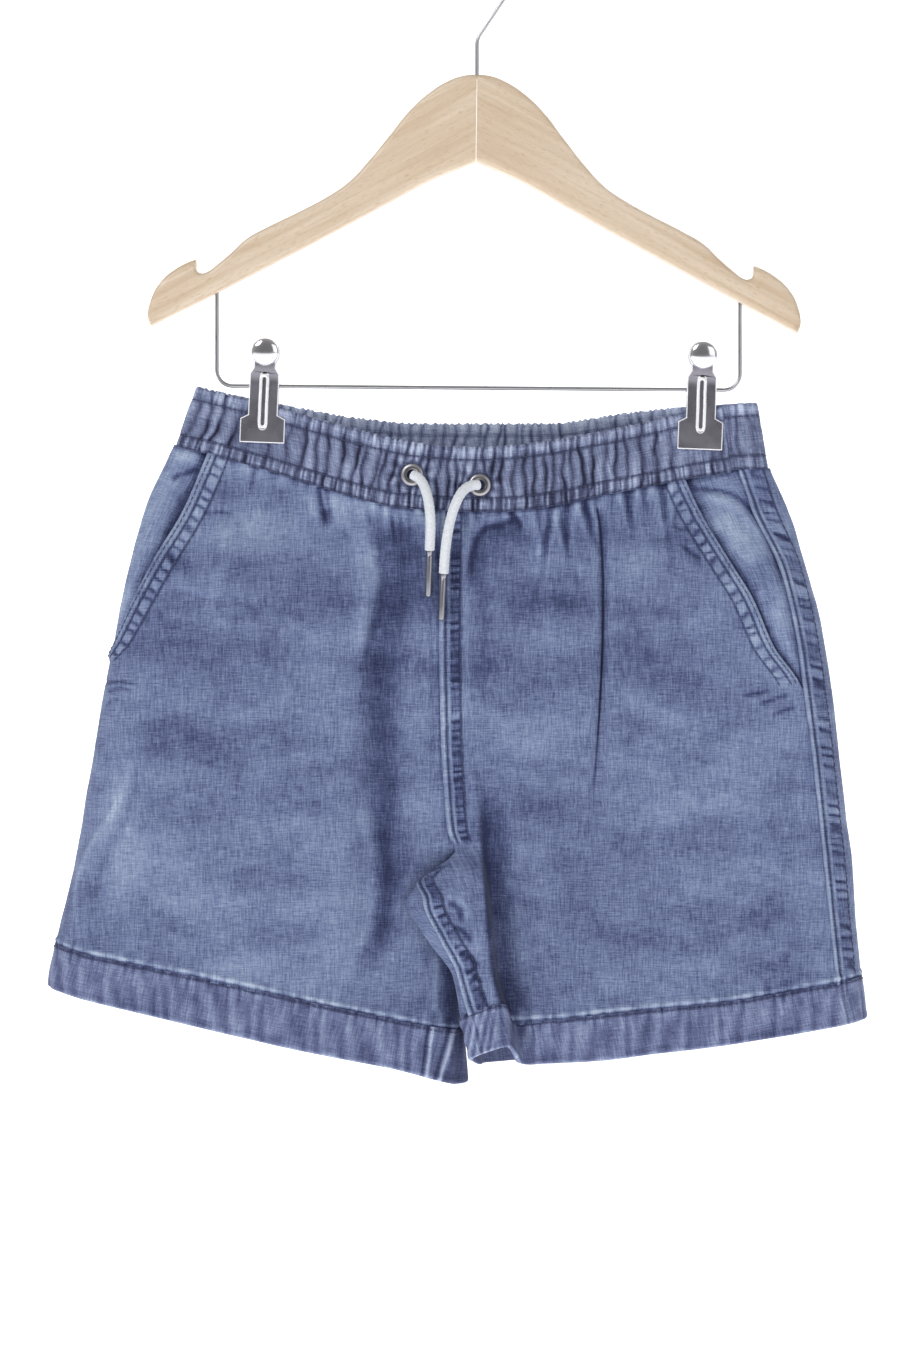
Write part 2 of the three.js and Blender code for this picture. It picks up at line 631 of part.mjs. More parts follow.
// A wall through rows of a leg, between stations that run from the inner end outwards on
// the front and from the side inwards on the back.
function panel(name, leg, rows, stations, { sink = () => 0, pucker = () => 0 } = {}) {
  const outer = [];
  const inner = [];
  for (const v of rows) {
    const columns = spread(stations, v);
    outer.push([]);
    inner.push([]);
    columns.forEach(({ arc, raise }, i) => {
      const middle = clothPoint(leg, v, arc);
      const out = clothNormal(leg, v, arc);
      middle.addScaledVector(out, sink(i / (columns.length - 1), v) + pucker(i, v));
      outer[outer.length - 1].push(middle.clone().addScaledVector(out, DENIM / 2 + raise));
      inner[inner.length - 1].push(middle.clone().addScaledVector(out, -DENIM / 2));
    });
  }
  add(name, wall(outer, inner, { flip: leg.dir < 0 }), denim);
}

const zOfEdge = (leg, v) => heightAt(leg, outlineX(leg, v), 'front', v);

// Places of the seams along a leg's section.
const riseFront = (leg) => (v) => {
  const ring = section(leg, v);
  if (v < CROTCH) return -ring.front;
  const wrap = leg === RIGHT ? read(INNER_RIGHT, 'z', heightAt(leg, RISE_FOOT, 'front', v), 'wrap') : 0;
  return -ring.front + wrap;
};
const riseBack = (leg) => (v) => {
  const ring = section(leg, v);
  return v < CROTCH ? ring.back : riseFront(leg)(v) + ring.total;
};
function seenSeam(leg, v, name) {
  const table = leg === LEFT ? SEAMS_LEFT : SEAMS_RIGHT;
  let x = leg.dir * 150;
  for (let i = 0; i < 5; i += 1) x = read(table, 'z', heightAt(leg, x, 'front', v), name);
  return section(leg, v).arcAtX(x);
}
const sideSeam = (leg) => (v) => (leg === LEFT ? SIDE_BEHIND : seenSeam(RIGHT, v, 'side'));
const pocketMouth = (leg) => (v) => {
  if (leg === RIGHT) return Math.min(seenSeam(RIGHT, v, 'pocket'), sideSeam(RIGHT)(v));
  const z = zOfEdge(LEFT, v);
  if (z < POCKET_END_LEFT) {
    const closing = smooth((POCKET_END_LEFT - z) / (POCKET_END_LEFT - POCKET_CLOSED_LEFT));
    return lerp(-3, SIDE_BEHIND, closing);
  }
  return Math.min(seenSeam(LEFT, v, 'pocket'), -3);
};
const pocketOpen = (leg, v) => smooth((sideSeam(leg)(v) - pocketMouth(leg)(v)) / 4);

const HALF_GAP = SEAM_GAP / 2;
const CROTCH_CLEAR = 0.7;
const CROTCH_REACH = 0.04;
// Four panels meet at the crotch, so their edges stand a little further apart there.
const seamEdge = (v) => HALF_GAP + CROTCH_CLEAR * smooth(1 - Math.abs(v - CROTCH) / CROTCH_REACH);
const ROWS_ABOVE = [0.0008, 0.04, 0.1, 0.18, 0.26, 0.33, 0.38, POCKET_END, 0.5, 0.57, 0.62, 0.643];
const ROWS_BELOW = [0.65, 0.665, 0.69, 0.73, 0.79, 0.86, 0.93, 0.9985];
const ROWS = [...ROWS_ABOVE, ...ROWS_BELOW];
const flat = () => 0;
const constant = (value) => () => value;
const gatherTop = (i, v) => (i % 2 ? 0.9 : 0) * smooth(1 - v / 0.12);

function frontPanel(leg) {
  const inner = (offset) => (v) => riseFront(leg)(v) + offset;
  const mouth = (offset) => (v) => pocketMouth(leg)(v) - offset;
  const band = (v) => FELL * pocketOpen(leg, v);
  const pleat = (offset) => (v) => section(leg, v).arcAtX(PLEAT_X + offset);
  const fold = (name) => (v) => {
    const z = heightAt(leg, RISE_FOOT, 'front', v);
    return section(leg, v).arcAtX(read(RIDGE_RIGHT, 'z', z, name));
  };
  const seam = leg === RIGHT
    ? [
        { place: (v) => riseFront(leg)(v) + seamEdge(v), raise: constant(RIDGE), parts: 1 },
        { place: inner(1.8), raise: constant(FELL), parts: 1 },
        { place: inner(FELL_WIDTH), raise: constant(FELL), parts: 1 },
        { place: inner(FELL_WIDTH + 0.7), raise: flat, parts: 1 },
        { place: fold('ridgeX'), raise: flat, parts: 1 },
        { place: fold('valleyX'), raise: flat, parts: 3 },
        { place: pleat(-3), raise: flat, parts: 1 },
        { place: pleat(0), raise: flat, parts: 1 },
        { place: pleat(3), raise: flat, parts: 5 },
      ]
    : [
        { place: (v) => riseFront(leg)(v) + seamEdge(v), raise: constant(0.3), parts: 1 },
        { place: inner(4), raise: flat, parts: 11 },
      ];
  panel(`front_${leg.name}`, leg, ROWS, [
    ...seam,
    { place: mouth(POCKET_BAND + 0.7), raise: flat, parts: 1 },
    { place: mouth(POCKET_BAND), raise: band, parts: 1 },
    { place: mouth(2), raise: band, parts: 1 },
    { place: mouth(HALF_GAP), raise: (v) => RIDGE * pocketOpen(leg, v), parts: 1 },
  ], { pucker: gatherTop });
}

function backPanel(leg) {
  const side = (offset) => (v) => sideSeam(leg)(v) + offset;
  const inner = (offset) => (v) => riseBack(leg)(v) - offset;
  panel(`back_${leg.name}`, leg, ROWS, [
    { place: side(HALF_GAP), raise: constant(RIDGE), parts: 1 },
    { place: side(1.8), raise: constant(FELL), parts: 1 },
    { place: side(FELL_WIDTH + 2), raise: constant(FELL), parts: 1 },
    { place: side(FELL_WIDTH + 2.7), raise: flat, parts: 3 },
    { place: side(40), raise: flat, parts: 10 },
    ...(leg === RIGHT
      ? [
          { place: inner(FELL_WIDTH + 0.7), raise: flat, parts: 1 },
          { place: inner(FELL_WIDTH), raise: (v) => FELL * smooth((CROTCH - v) / 0.05), parts: 1 },
          { place: inner(1.8), raise: (v) => FELL * smooth((CROTCH - v) / 0.05), parts: 1 },
        ]
      : [{ place: inner(4), raise: flat, parts: 1 }]),
    { place: (v) => riseBack(leg)(v) - seamEdge(v), raise: constant(0.3), parts: 1 },
  ], { pucker: gatherTop });
}

// The facing seen inside a pocket mouth: it starts a little way under the front panel,
// comes up to the side seam and bulges between them.
const FACING_UNDER = 1 / 6;
function pocketFacing(leg, bulge) {
  const rows = ROWS.filter((v) => v <= POCKET_END);
  const lap = (v) => lerp(FACING_LAP_END, FACING_LAP, pocketOpen(leg, v));
  panel(`pocket_facing_${leg.name}`, leg, rows, [
    { place: (v) => pocketMouth(leg)(v) - lap(v), raise: flat, parts: 1 },
    { place: (v) => pocketMouth(leg)(v) + HALF_GAP, raise: flat, parts: 5 },
    { place: (v) => sideSeam(leg)(v) - HALF_GAP, raise: flat, parts: 1 },
  ], {
    sink: (share, v) => {
      const rising = clamp01((share - FACING_UNDER) / (1 - FACING_UNDER));
      const inTheMiddle = Math.sin(Math.PI * clamp01(v / POCKET_END));
      return lerp(-FACING_DEPTH, 0, smooth(rising)) + bulge * Math.sin(Math.PI * rising) * inTheMiddle;
    },
  });
}

// A hem goes all round its leg, from the stitch line to the folded bottom edge.
const HEM_COLUMNS = 72;
const HEM_FINE = 16;
const HEM_FINE_LENGTH = 48;
const HEM_PUCKER = 0.7;
const NOSE_CLEAR = 1.4;
function hem(leg) {
  const outer = [];
  const inner = [];
  const rows = [{ v: 1.0015, pucker: 0.4 }, { v: 1.05, pucker: 1 }, { v: HEM_END, pucker: 0.5 }];
  for (const { v, pucker } of rows) {
    const ring = section(leg, v);
    outer.push([]);
    inner.push([]);
    for (let i = 0; i < HEM_COLUMNS; i += 1) {
      const fine = (HEM_FINE_LENGTH * i) / HEM_FINE;
      const rest = lerp(HEM_FINE_LENGTH, ring.total, (i - HEM_FINE) / (HEM_COLUMNS - HEM_FINE));
      const arc = riseFront(leg)(v) + (i < HEM_FINE ? fine : rest);
      const middle = clothPoint(leg, v, arc);
      const out = clothNormal(leg, v, arc);
      if (v === rows[0].v) middle.z -= (NOSE_CLEAR * Math.max(0, ring.at(arc).z)) / NOSE_RIDGE_LIFT;
      const puff = (i % 2) * HEM_PUCKER * pucker;
      outer[outer.length - 1].push(middle.clone().addScaledVector(out, HEM / 2 + puff));
      inner[inner.length - 1].push(middle.clone().addScaledVector(out, -HEM / 2));
    }
  }
  const shell = wall(outer, inner, { closed: true, flip: leg.dir < 0, insideRows: [0, rows.length - 1] });
  add(`hem_${leg.name}`, shell, denimDark);
}

// The waistband as one ring from the left side, along the front, to the right side and back.
function bandSection(w) {
  const left = lerp(BAND_TOP_LEFT, BAND_BOTTOM_LEFT, w) + BAND / 2;
  const right = lerp(BAND_TOP_RIGHT, BAND_BOTTOM_RIGHT, w) - BAND / 2;
  const points = [];
  const across = (i) => lerp(left, right, (1 - Math.cos((Math.PI * i) / BAND_STEPS)) / 2);
  const half = (x) => waistHalf(x, Math.min(x - left, right - x));
  for (let i = 0; i <= BAND_STEPS; i += 1) points.push(new THREE.Vector3(across(i), -half(across(i)), 0));
  for (let i = BAND_STEPS - 1; i > 0; i -= 1) points.push(new THREE.Vector3(across(i), half(across(i)), 0));
  return measured({ points, edge: BAND_STEPS, closed: true });
}
const bandSections = new Map();
function bandRing(w) {
  if (!bandSections.has(w)) bandSections.set(w, bandSection(w));
  return bandSections.get(w);
}
function bandPoint(w, arc, face) {
  const here = bandRing(w).at(arc);
  const left = lerp(BAND_TOP_LEFT, BAND_BOTTOM_LEFT, w);
  const right = lerp(BAND_TOP_RIGHT, BAND_BOTTOM_RIGHT, w);
  const t = clamp01((here.x - left) / (right - left));
  const top = read(BAND_LINES, 't', t, face === 'back' ? 'backZ' : 'frontZ');
  const leg = here.x < RISE_FOOT ? LEFT : RIGHT;
  const bottom = read(leg.lines, 'x', here.x, face === 'back' ? 'waistBack' : 'waist') + SEAM_GAP;
  return new THREE.Vector3(here.x, here.y, lerp(top, bottom, w));
}
function bandNormal(w, arc) {
  const along = bandRing(w).at(arc + STEP_ARC).sub(bandRing(w).at(arc - STEP_ARC));
  return new THREE.Vector3(along.y, -along.x, 0).normalize();
}

// Gathers lie flat under the clips and round the eyelets, and come up again below the clips.
const CLIP_FLAT = 12.5;
const EYELET_FLAT = 7;
const FLAT_BLEND = 5;
function gatherFade(x, z, w) {
  let fade = 1;
  for (const clip of CLIPS) {
    const aside = smooth((Math.abs(x - clip.x) - CLIP_FLAT) / FLAT_BLEND);
    fade *= Math.max(aside, 0.6 * smooth((w - 0.7) / 0.2));
  }
  for (const eyelet of EYELETS) {
    fade *= smooth((Math.hypot(x - eyelet.x, z - eyelet.z) - EYELET_FLAT) / FLAT_BLEND);
  }
  return fade;
}

// A gather's crest runs over this share of its pitch, and a little lower at its far side.
const CREST_FROM = 0.3;
const CREST_TO = 0.7;
const CREST_FAR = 0.9;
function waistband(name, face, gathers) {
  const halfway = bandRing(0.5);
  const middle = (arc) => halfway.at(arc).x;
  const halfRound = halfway.total / 2;
  const from = face === 'front' ? -halfRound - BAND_SIDE_LEFT : BAND_SIDE_RIGHT;
  const to = face === 'front' ? BAND_SIDE_RIGHT : halfRound - BAND_SIDE_LEFT;
  const columns = [{ arc: from + HALF_GAP, high: 0.5 }];
  let arc = from + 2;
  while (arc < to - 3) {
    const pitch = read(gathers, 'x', middle(arc), 'pitch');
    columns.push({ arc, high: 0 });
    columns.push({ arc: arc + pitch * CREST_FROM, high: 1 });
    columns.push({ arc: arc + pitch * CREST_TO, high: CREST_FAR });
    arc += pitch;
  }
  columns.push({ arc: to - HALF_GAP, high: 0.5 });
  const sorted = columns.filter((c, i) => i === columns.length - 1 || c.arc < to - 1);
  const outer = [];
  const inner = [];
  for (const { w, gather } of BAND_ROWS) {
    const scale = bandRing(w).total / halfway.total;
    outer.push([]);
    inner.push([]);
    for (const column of sorted) {
      const place = column.arc * scale;
      const point = bandPoint(w, place, face);
      const out = bandNormal(w, place);
      const wave = GATHER_HEIGHT * gather * column.high * gatherFade(point.x, point.z, w);
      outer[outer.length - 1].push(point.clone().addScaledVector(out, BAND / 2 + wave));
      inner[inner.length - 1].push(point.clone().addScaledVector(out, -BAND / 2 + wave * 0.8));
    }
  }
  add(name, wall(outer, inner, { insideRows: [0, BAND_ROWS.length - 1] }), denim);
}

// A round wire or cord: an extrusion whose rings stand at the route's own points.
class Route extends THREE.Curve {
  constructor(points) {
    super();
    this.points = points;
  }
  getPoint(t) {
    const s = clamp01(t) * (this.points.length - 1);
    const i = Math.min(this.points.length - 2, Math.floor(s));
    return this.points[i].clone().lerp(this.points[i + 1], s - i);
  }
  getPointAt(t) {
    return this.getPoint(t);
  }
  getTangentAt(t) {
    const step = 0.5 / (this.points.length - 1);
    return this.getPoint(t + step).sub(this.getPoint(t - step)).normalize();
  }
  getSpacedPoints(divisions) {
    return Array.from({ length: divisions + 1 }, (_, i) => this.getPoint(i / divisions));
  }
}
function roundSection(radius, sides) {
  const shape = new THREE.Shape();
  for (let i = 0; i < sides; i += 1) {
    const turn = (2 * Math.PI * i) / sides;
    const [x, y] = [radius * Math.cos(turn), radius * Math.sin(turn)];
    if (i === 0) shape.moveTo(x, y);
    else shape.lineTo(x, y);
  }
  return shape;
}
function tube(points, radius, sides) {
  return new THREE.ExtrudeGeometry(roundSection(radius, sides), {
    steps: points.length - 1,
    extrudePath: new Route(points),
  });
}

function hook() {
  const points = [new THREE.Vector3(0, 0, WOOD_TOP), new THREE.Vector3(0, 0, HOOK_STEM_TOP - 4)];
  points.push(new THREE.Vector3(0.25, 0, HOOK_STEM_TOP - 1.4));
  points.push(new THREE.Vector3(1.3, 0, HOOK_STEM_TOP + 2));
  for (let i = 0; i <= HOOK_STEPS; i += 1) {
    const turn = lerp(HOOK_START, HOOK_END, i / HOOK_STEPS);
    const [x, z] = [HOOK_RADIUS * Math.cos(turn), HOOK_CENTRE + HOOK_RADIUS * Math.sin(turn)];
    points.push(new THREE.Vector3(x, 0, z));
  }
  add('hook', tube(points, WIRE / 2, WIRE_SIDES), steelWire);
}

// Drop of the arm's underside at a distance from the middle, and the bar's upright below it,
// cut square just under the slanting wood.
const BAR_END_CLEAR = 1.2;
function underDrop(out) {
  return read([...ARM_UNDER].reverse(), 'out', out, 'drop');
}
function clipBar() {
  const end = (x) => WOOD_TOP - underDrop(Math.abs(x)) - x * Math.tan(WOOD_TILT) - BAR_END_CLEAR;
  const points = [new THREE.Vector3(BAR_LEFT, 0, end(BAR_LEFT))];
  const corner = (x, z, from, to, side) => {
    for (let i = 0; i <= 4; i += 1) {
      const turn = THREE.MathUtils.degToRad(lerp(from, to, i / 4));
      const centre = new THREE.Vector3(x + side * BAR_ROUND, 0, z + BAR_ROUND);
      points.push(centre.add(new THREE.Vector3(BAR_ROUND * Math.cos(turn), 0, BAR_ROUND * Math.sin(turn))));
    }
  };
  corner(BAR_LEFT, BAR_HEIGHT_LEFT, 180, 270, 1);
  corner(BAR_RIGHT, BAR_HEIGHT_RIGHT, 270, 360, -1);
  points.push(new THREE.Vector3(BAR_RIGHT, 0, end(BAR_RIGHT)));
  add('clip_bar', tube(points, WIRE / 2, WIRE_SIDES), steelWire);
}

function hangerArm(leg) {
  const shape = new THREE.Shape();
  [...ARM_TOP, ...ARM_NOTCH, ...ARM_UNDER].forEach((row, i) => {
    if (i === 0) shape.moveTo(leg.dir * row.out, -row.drop);
    else shape.lineTo(leg.dir * row.out, -row.drop);
  });
  shape.closePath();
  const geometry = new THREE.ExtrudeGeometry(shape, {
    depth: WOOD_THICK - 2 * WOOD_ROUND,
    bevelEnabled: true,
    bevelThickness: WOOD_ROUND,
    bevelSize: WOOD_ROUND,
    bevelOffset: -WOOD_ROUND,
    bevelSegments: 2,
  });
  geometry.translate(0, 0, -(WOOD_THICK - 2 * WOOD_ROUND) / 2);
  geometry.rotateX(Math.PI / 2);
  const mesh = add(`hanger_arm_${leg.name}`, geometry, beech);
  mesh.position.set(0, 0, WOOD_TOP);
  mesh.rotation.y = WOOD_TILT;
}

function solid(geometry) {
  const plain = geometry.clone();
  plain.deleteAttribute('normal');
  plain.deleteAttribute('uv');
  const merged = mergeVertices(plain, 1e-4);
  return new wasm.Manifold(new wasm.Mesh({
    numProp: 3,
    vertProperties: new Float32Array(merged.attributes.position.array),
    triVerts: new Uint32Array(merged.index.array),
  }));
}
function geometryOf(manifold) {
  const mesh = manifold.getMesh();
  const geometry = new THREE.BufferGeometry();
  geometry.setAttribute('position', new THREE.BufferAttribute(mesh.vertProperties, 3));
  geometry.setIndex(new THREE.BufferAttribute(mesh.triVerts, 1));
  return geometry;
}

// A clip is the sheet's side profile, extruded across, cut to its front outline. The tables
// give half the profile's width, outside and inside, at heights above the bar.
const CLIP_OUTSIDE = [
  { z: -5.4, half: 4.3 },
  { z: -1.6, half: 2.4 },
  { z: 4, half: 2.4 },
  { z: 10, half: 3.8 },
  { z: 19, half: 3.8 },
  { z: 22, half: 2.7 },
];
const CLIP_INSIDE = [
  { z: 21.2, half: 1.9 },
  { z: 18.7, half: 2.8 },
  { z: 10.3, half: 2.8 },
  { z: 4.3, half: 1.4 },
  { z: -1.8, half: 1.4 },
  { z: -5.7, half: 3.3 },
];
const CLIP_FOOT_HALF = 4.3;
// Heights of the front outline's corners, and of the slot's two ends.
const NECK_FOOT = 9;
const SLIDE_TOP = 6;
const SLIDE_FOOT = -14.5;
const FOOT_TOP = -16.5;
const KNOB_NECK = 5;
const SLOT_TOP = 5;
const SLOT_FOOT = -20;
const KNOB_STEPS = 12;
function clip({ name, x, bar, toKnob, toFoot }) {
  const side = new THREE.Shape();
  const top = toKnob + KNOB_RADIUS;
  const half = [[CLIP_FOOT_HALF, toFoot], ...CLIP_OUTSIDE.map((row) => [row.half, row.z]), [0, top]];
  const within = [
    [0, top - SHEET],
    ...CLIP_INSIDE.map((row) => [row.half, row.z]),
    [CLIP_FOOT_HALF - SHEET, toFoot],
  ];
  const mirrored = (list) => list.map(([y, z]) => [-y, z]).reverse();
  const loop = [...half, ...mirrored(half).slice(1), ...mirrored(within), ...within.slice(1)];
  loop.forEach(([y, z], i) => (i === 0 ? side.moveTo(y, z) : side.lineTo(y, z)));
  side.closePath();
  const across = new THREE.ExtrudeGeometry(side, { depth: 2 * FOOT_HALF + 2, bevelEnabled: false });
  across.translate(0, 0, -FOOT_HALF - 1);
  across.applyMatrix4(new THREE.Matrix4().makeBasis(
    new THREE.Vector3(0, 1, 0), new THREE.Vector3(0, 0, 1), new THREE.Vector3(1, 0, 0),
  ));
  const corners = [
    [FOOT_HALF, toFoot],
    [FOOT_HALF, FOOT_TOP],
    [SLIDE_HALF, SLIDE_FOOT],
    [SLIDE_HALF, SLIDE_TOP],
    [NECK_HALF, NECK_FOOT],
    [NECK_HALF, toKnob - KNOB_NECK],
  ];
  const knob = [];
  const start = Math.atan2(-KNOB_NECK, NECK_HALF);
  for (let i = 1; i < KNOB_STEPS; i += 1) {
    const turn = lerp(start, Math.PI - start, i / KNOB_STEPS);
    knob.push([KNOB_RADIUS * Math.cos(turn), toKnob + KNOB_RADIUS * Math.sin(turn)]);
  }
  const front = new THREE.Shape();
  [...corners, ...knob, ...mirrored(corners)].forEach(([out, up], i) => {
    if (i === 0) front.moveTo(out, up);
    else front.lineTo(out, up);
  });
  front.closePath();
  const slot = new THREE.Path();
  slot.absarc(0, SLOT_TOP, SLOT_HALF, 0, Math.PI, false);
  slot.absarc(0, SLOT_FOOT, SLOT_HALF, Math.PI, 2 * Math.PI, false);
  front.holes.push(slot);
  const through = new THREE.ExtrudeGeometry(front, { depth: 12, bevelEnabled: false, curveSegments: 6 });
  through.translate(0, 0, -6);
  through.rotateX(Math.PI / 2);
  const shaped = solid(across).intersect(solid(through));
  const mesh = add(name, geometryOf(shaped), clipMetal);
  mesh.position.set(x, 0, bar);
  mesh.rotation.y = CLIP_LEAN;
}

// An eyelet is a rolled metal ring, seated on the band.
function eyelet({ name, x, z }) {
  const middle = (EYELET_OUTER + EYELET_INNER) / 2;
  const profile = [
    [EYELET_INNER, 0], [EYELET_OUTER, 0], [EYELET_OUTER, 0.5], [middle, EYELET_THICK], [EYELET_INNER, 0.6],
    [EYELET_INNER, 0],
  ].map(([r, h]) => new THREE.Vector2(r, h));
  const mesh = add(name, new THREE.LatheGeometry(profile, EYELET_SIDES), eyeletMetal);
  const w = 0.5;
  const arc = bandRing(w).arcAtX(x);
  const surface = bandPoint(w, arc, 'front').addScaledVector(bandNormal(w, arc), BAND / 2 + SEAM_GAP);
  mesh.position.set(x, surface.y, z);
  mesh.quaternion.setFromUnitVectors(new THREE.Vector3(0, 1, 0), bandNormal(w, arc));
}

const CORD_STEPS = 9;
const CORD_SIDES = 8;
function drawcord(side, route) {
  const curve = new THREE.CatmullRomCurve3(route.map((p) => new THREE.Vector3(...p)));
  add(`drawcord_${side}`, new THREE.ExtrudeGeometry(roundSection(CORD / 2, CORD_SIDES), {
    steps: CORD_STEPS,
    extrudePath: curve,
  }), cotton);
  const end = curve.getPoint(1);
  const down = curve.getTangent(1);
  const radius = AGLET / 2;
  const profile = [
    [0, SEAM_GAP],
    [radius, SEAM_GAP],
    [radius, AGLET_LENGTH - AGLET_ROUND],
    [radius / 2, AGLET_LENGTH],
    [0, AGLET_LENGTH],
  ].map(([r, h]) => new THREE.Vector2(r, h));
  const mesh = add(`aglet_${side}`, new THREE.LatheGeometry(profile, AGLET_SIDES), agletMetal);
  mesh.position.copy(end);
  mesh.quaternion.setFromUnitVectors(new THREE.Vector3(0, 1, 0), down);
}

waistband('waistband_front', 'front', GATHERS_FRONT);
waistband('waistband_back', 'back', GATHERS_BACK);
for (const leg of [LEFT, RIGHT]) {
  frontPanel(leg);
  backPanel(leg);
  hem(leg);
  hangerArm(leg);
}
pocketFacing(LEFT, FACING_BULGE_LEFT);
pocketFacing(RIGHT, FACING_BULGE_RIGHT);
hook();
clipBar();
CLIPS.forEach(clip);
EYELETS.forEach(eyelet);
drawcord('left', CORD_LEFT);
drawcord('right', CORD_RIGHT);

export default shorts;
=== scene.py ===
# %% [markdown]
# Child's pull-on denim shorts, hung by two metal clips from a wooden hanger.
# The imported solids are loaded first. They are the fixed frame that every visible piece is fitted to, in
# metres, with +Z up and the front of the shorts facing -Y. Lengths below are in millimetres and are turned
# to metres where a mesh is made, because a tailor or a turner would think in millimetres.

# %% Load the frame
import math

import bpy
import bmesh
import numpy as np
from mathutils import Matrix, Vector


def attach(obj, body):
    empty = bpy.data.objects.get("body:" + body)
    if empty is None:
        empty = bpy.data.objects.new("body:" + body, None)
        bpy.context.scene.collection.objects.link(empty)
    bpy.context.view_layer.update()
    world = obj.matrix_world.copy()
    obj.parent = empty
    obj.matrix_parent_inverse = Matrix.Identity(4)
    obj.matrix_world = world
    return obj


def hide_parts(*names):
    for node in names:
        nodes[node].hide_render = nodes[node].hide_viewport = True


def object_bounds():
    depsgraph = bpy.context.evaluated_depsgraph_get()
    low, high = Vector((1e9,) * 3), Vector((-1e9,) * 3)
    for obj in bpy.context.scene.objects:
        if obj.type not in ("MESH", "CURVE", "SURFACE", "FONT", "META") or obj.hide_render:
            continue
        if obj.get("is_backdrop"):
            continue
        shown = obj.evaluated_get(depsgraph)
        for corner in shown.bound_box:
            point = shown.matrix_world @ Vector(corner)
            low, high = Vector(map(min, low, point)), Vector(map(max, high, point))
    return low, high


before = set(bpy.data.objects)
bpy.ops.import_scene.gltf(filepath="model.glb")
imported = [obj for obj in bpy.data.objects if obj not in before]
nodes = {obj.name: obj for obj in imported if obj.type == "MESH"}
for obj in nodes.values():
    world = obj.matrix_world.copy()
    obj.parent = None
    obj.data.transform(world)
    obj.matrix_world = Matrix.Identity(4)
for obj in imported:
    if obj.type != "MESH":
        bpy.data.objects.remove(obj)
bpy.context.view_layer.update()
MM = 0.001
BODY = "root"
print("nodes", len(nodes))

# %% [markdown]
# Colours are picked as sRGB hex values, as a painter would read them off a swatch. Shaders want linear
# values, so one small function turns them. Another adds a shader node with its settings and links.

# %% Colour and node helpers
def linear(code):
    parts = [int(code[i : i + 2], 16) / 255 for i in (1, 3, 5)]
    return tuple(c / 12.92 if c <= 0.04045 else ((c + 0.055) / 1.055) ** 2.4 for c in parts) + (1.0,)


def node(tree, kind, links=(), **settings):
    made = tree.nodes.new("ShaderNode" + kind)
    for name, value in settings.items():
        if name.startswith("in_"):
            key = name[3:]
            made.inputs[int(key) if key.isdigit() else key.replace("_", " ")].default_value = value
        else:
            setattr(made, name, value)
    for source, output, target in links:
        tree.links.new(source.outputs[output], made.inputs[target])
    return made


def new_material(name):
    material = bpy.data.materials.new(name)
    material.use_nodes = True
    tree = material.node_tree
    shader = tree.nodes["Principled BSDF"]
    return material, tree, shader


# %% [markdown]
# The photograph is a level, frontal product shot with a long lens, so the camera stands 1.8 m away and looks
# straight along +Y at the middle of the picture. The floor curves up into a plain backdrop, far enough
# behind to catch no shadow. The light is broad and soft, a little stronger from above and the left.

# %% Camera, light and stage
VIEW_AT = Vector((-0.0125, 0.0, -0.377))
VIEW_DISTANCE = 1.8
FRAME_HEIGHT = 0.678

camera_data = bpy.data.cameras.new("camera")
camera_data.sensor_width = 36.0
camera_data.lens = 36.0 * VIEW_DISTANCE / FRAME_HEIGHT
camera = bpy.data.objects.new("camera", camera_data)
camera.location = VIEW_AT - Vector((0, VIEW_DISTANCE, 0))
camera.rotation_euler = (math.pi / 2, 0, 0)
bpy.context.scene.collection.objects.link(camera)
bpy.context.scene.camera = camera
bpy.context.scene.view_settings.view_transform = "Standard"

world = bpy.data.worlds.new("studio")
world.use_nodes = True
sky = world.node_tree
toward = node(sky, "TexCoord")
split = node(sky, "SeparateXYZ", [(toward, "Generated", "Vector")])
# The room is dim behind the camera and brighter behind the shorts.
DIM, BRIGHT = 0.18, 0.6
depth = node(sky, "MapRange", [(split, "Y", "Value")], in_1=-1.0, in_2=0.4, in_3=DIM, in_4=BRIGHT)
sky.links.new(depth.outputs["Result"], sky.nodes["Background"].inputs["Strength"])
sky.nodes["Background"].inputs["Color"].default_value = (1, 1, 1, 1)
bpy.context.scene.world = world


def soft_light(name, place, size, watts):
    data = bpy.data.lights.new(name, "AREA")
    data.shape = "RECTANGLE"
    data.size, data.size_y = size
    data.energy = watts
    lamp = bpy.data.objects.new(name, data)
    lamp.location = place
    lamp.rotation_euler = (VIEW_AT - Vector(place)).to_track_quat("-Z", "Y").to_euler()
    bpy.context.scene.collection.objects.link(lamp)


soft_light("key_light", (-1.3, -1.5, 1.1), (1.0, 1.0), 22)
soft_light("fill_light", (1.5, -1.6, 0.2), (1.4, 1.4), 7)
soft_light("back_light", (0.9, 1.6, 0.9), (1.2, 1.2), 10)

FLOOR_Z, WALL_Y = -1.0, 2.4
FLOOR_LENGTH, SWEEP_RADIUS, SWEEP_LENGTH, SWEEP_HALF_WIDTH = 5.4, 0.9, 9.0, 5.0
bpy.ops.mesh.primitive_grid_add(x_subdivisions=2, y_subdivisions=48, size=2, location=(0, 0, 0))
stage = bpy.context.object
stage.name = "studio_sweep"
for vertex in stage.data.vertices:
    along = (vertex.co.y + 1) / 2 * SWEEP_LENGTH
    bend = min(max(along - FLOOR_LENGTH, 0.0), math.pi / 2 * SWEEP_RADIUS)
    past = max(along - FLOOR_LENGTH - bend, 0.0)
    flat = min(along, FLOOR_LENGTH)
    turned = bend / SWEEP_RADIUS
    vertex.co.x *= SWEEP_HALF_WIDTH
    vertex.co.y = WALL_Y - SWEEP_RADIUS - FLOOR_LENGTH + flat + SWEEP_RADIUS * math.sin(turned)
    vertex.co.z = FLOOR_Z + SWEEP_RADIUS * (1 - math.cos(turned)) + past
paper, tree, shader = new_material("matt_white_paper")
shader.inputs["Base Color"].default_value = linear("#fbfbfb")
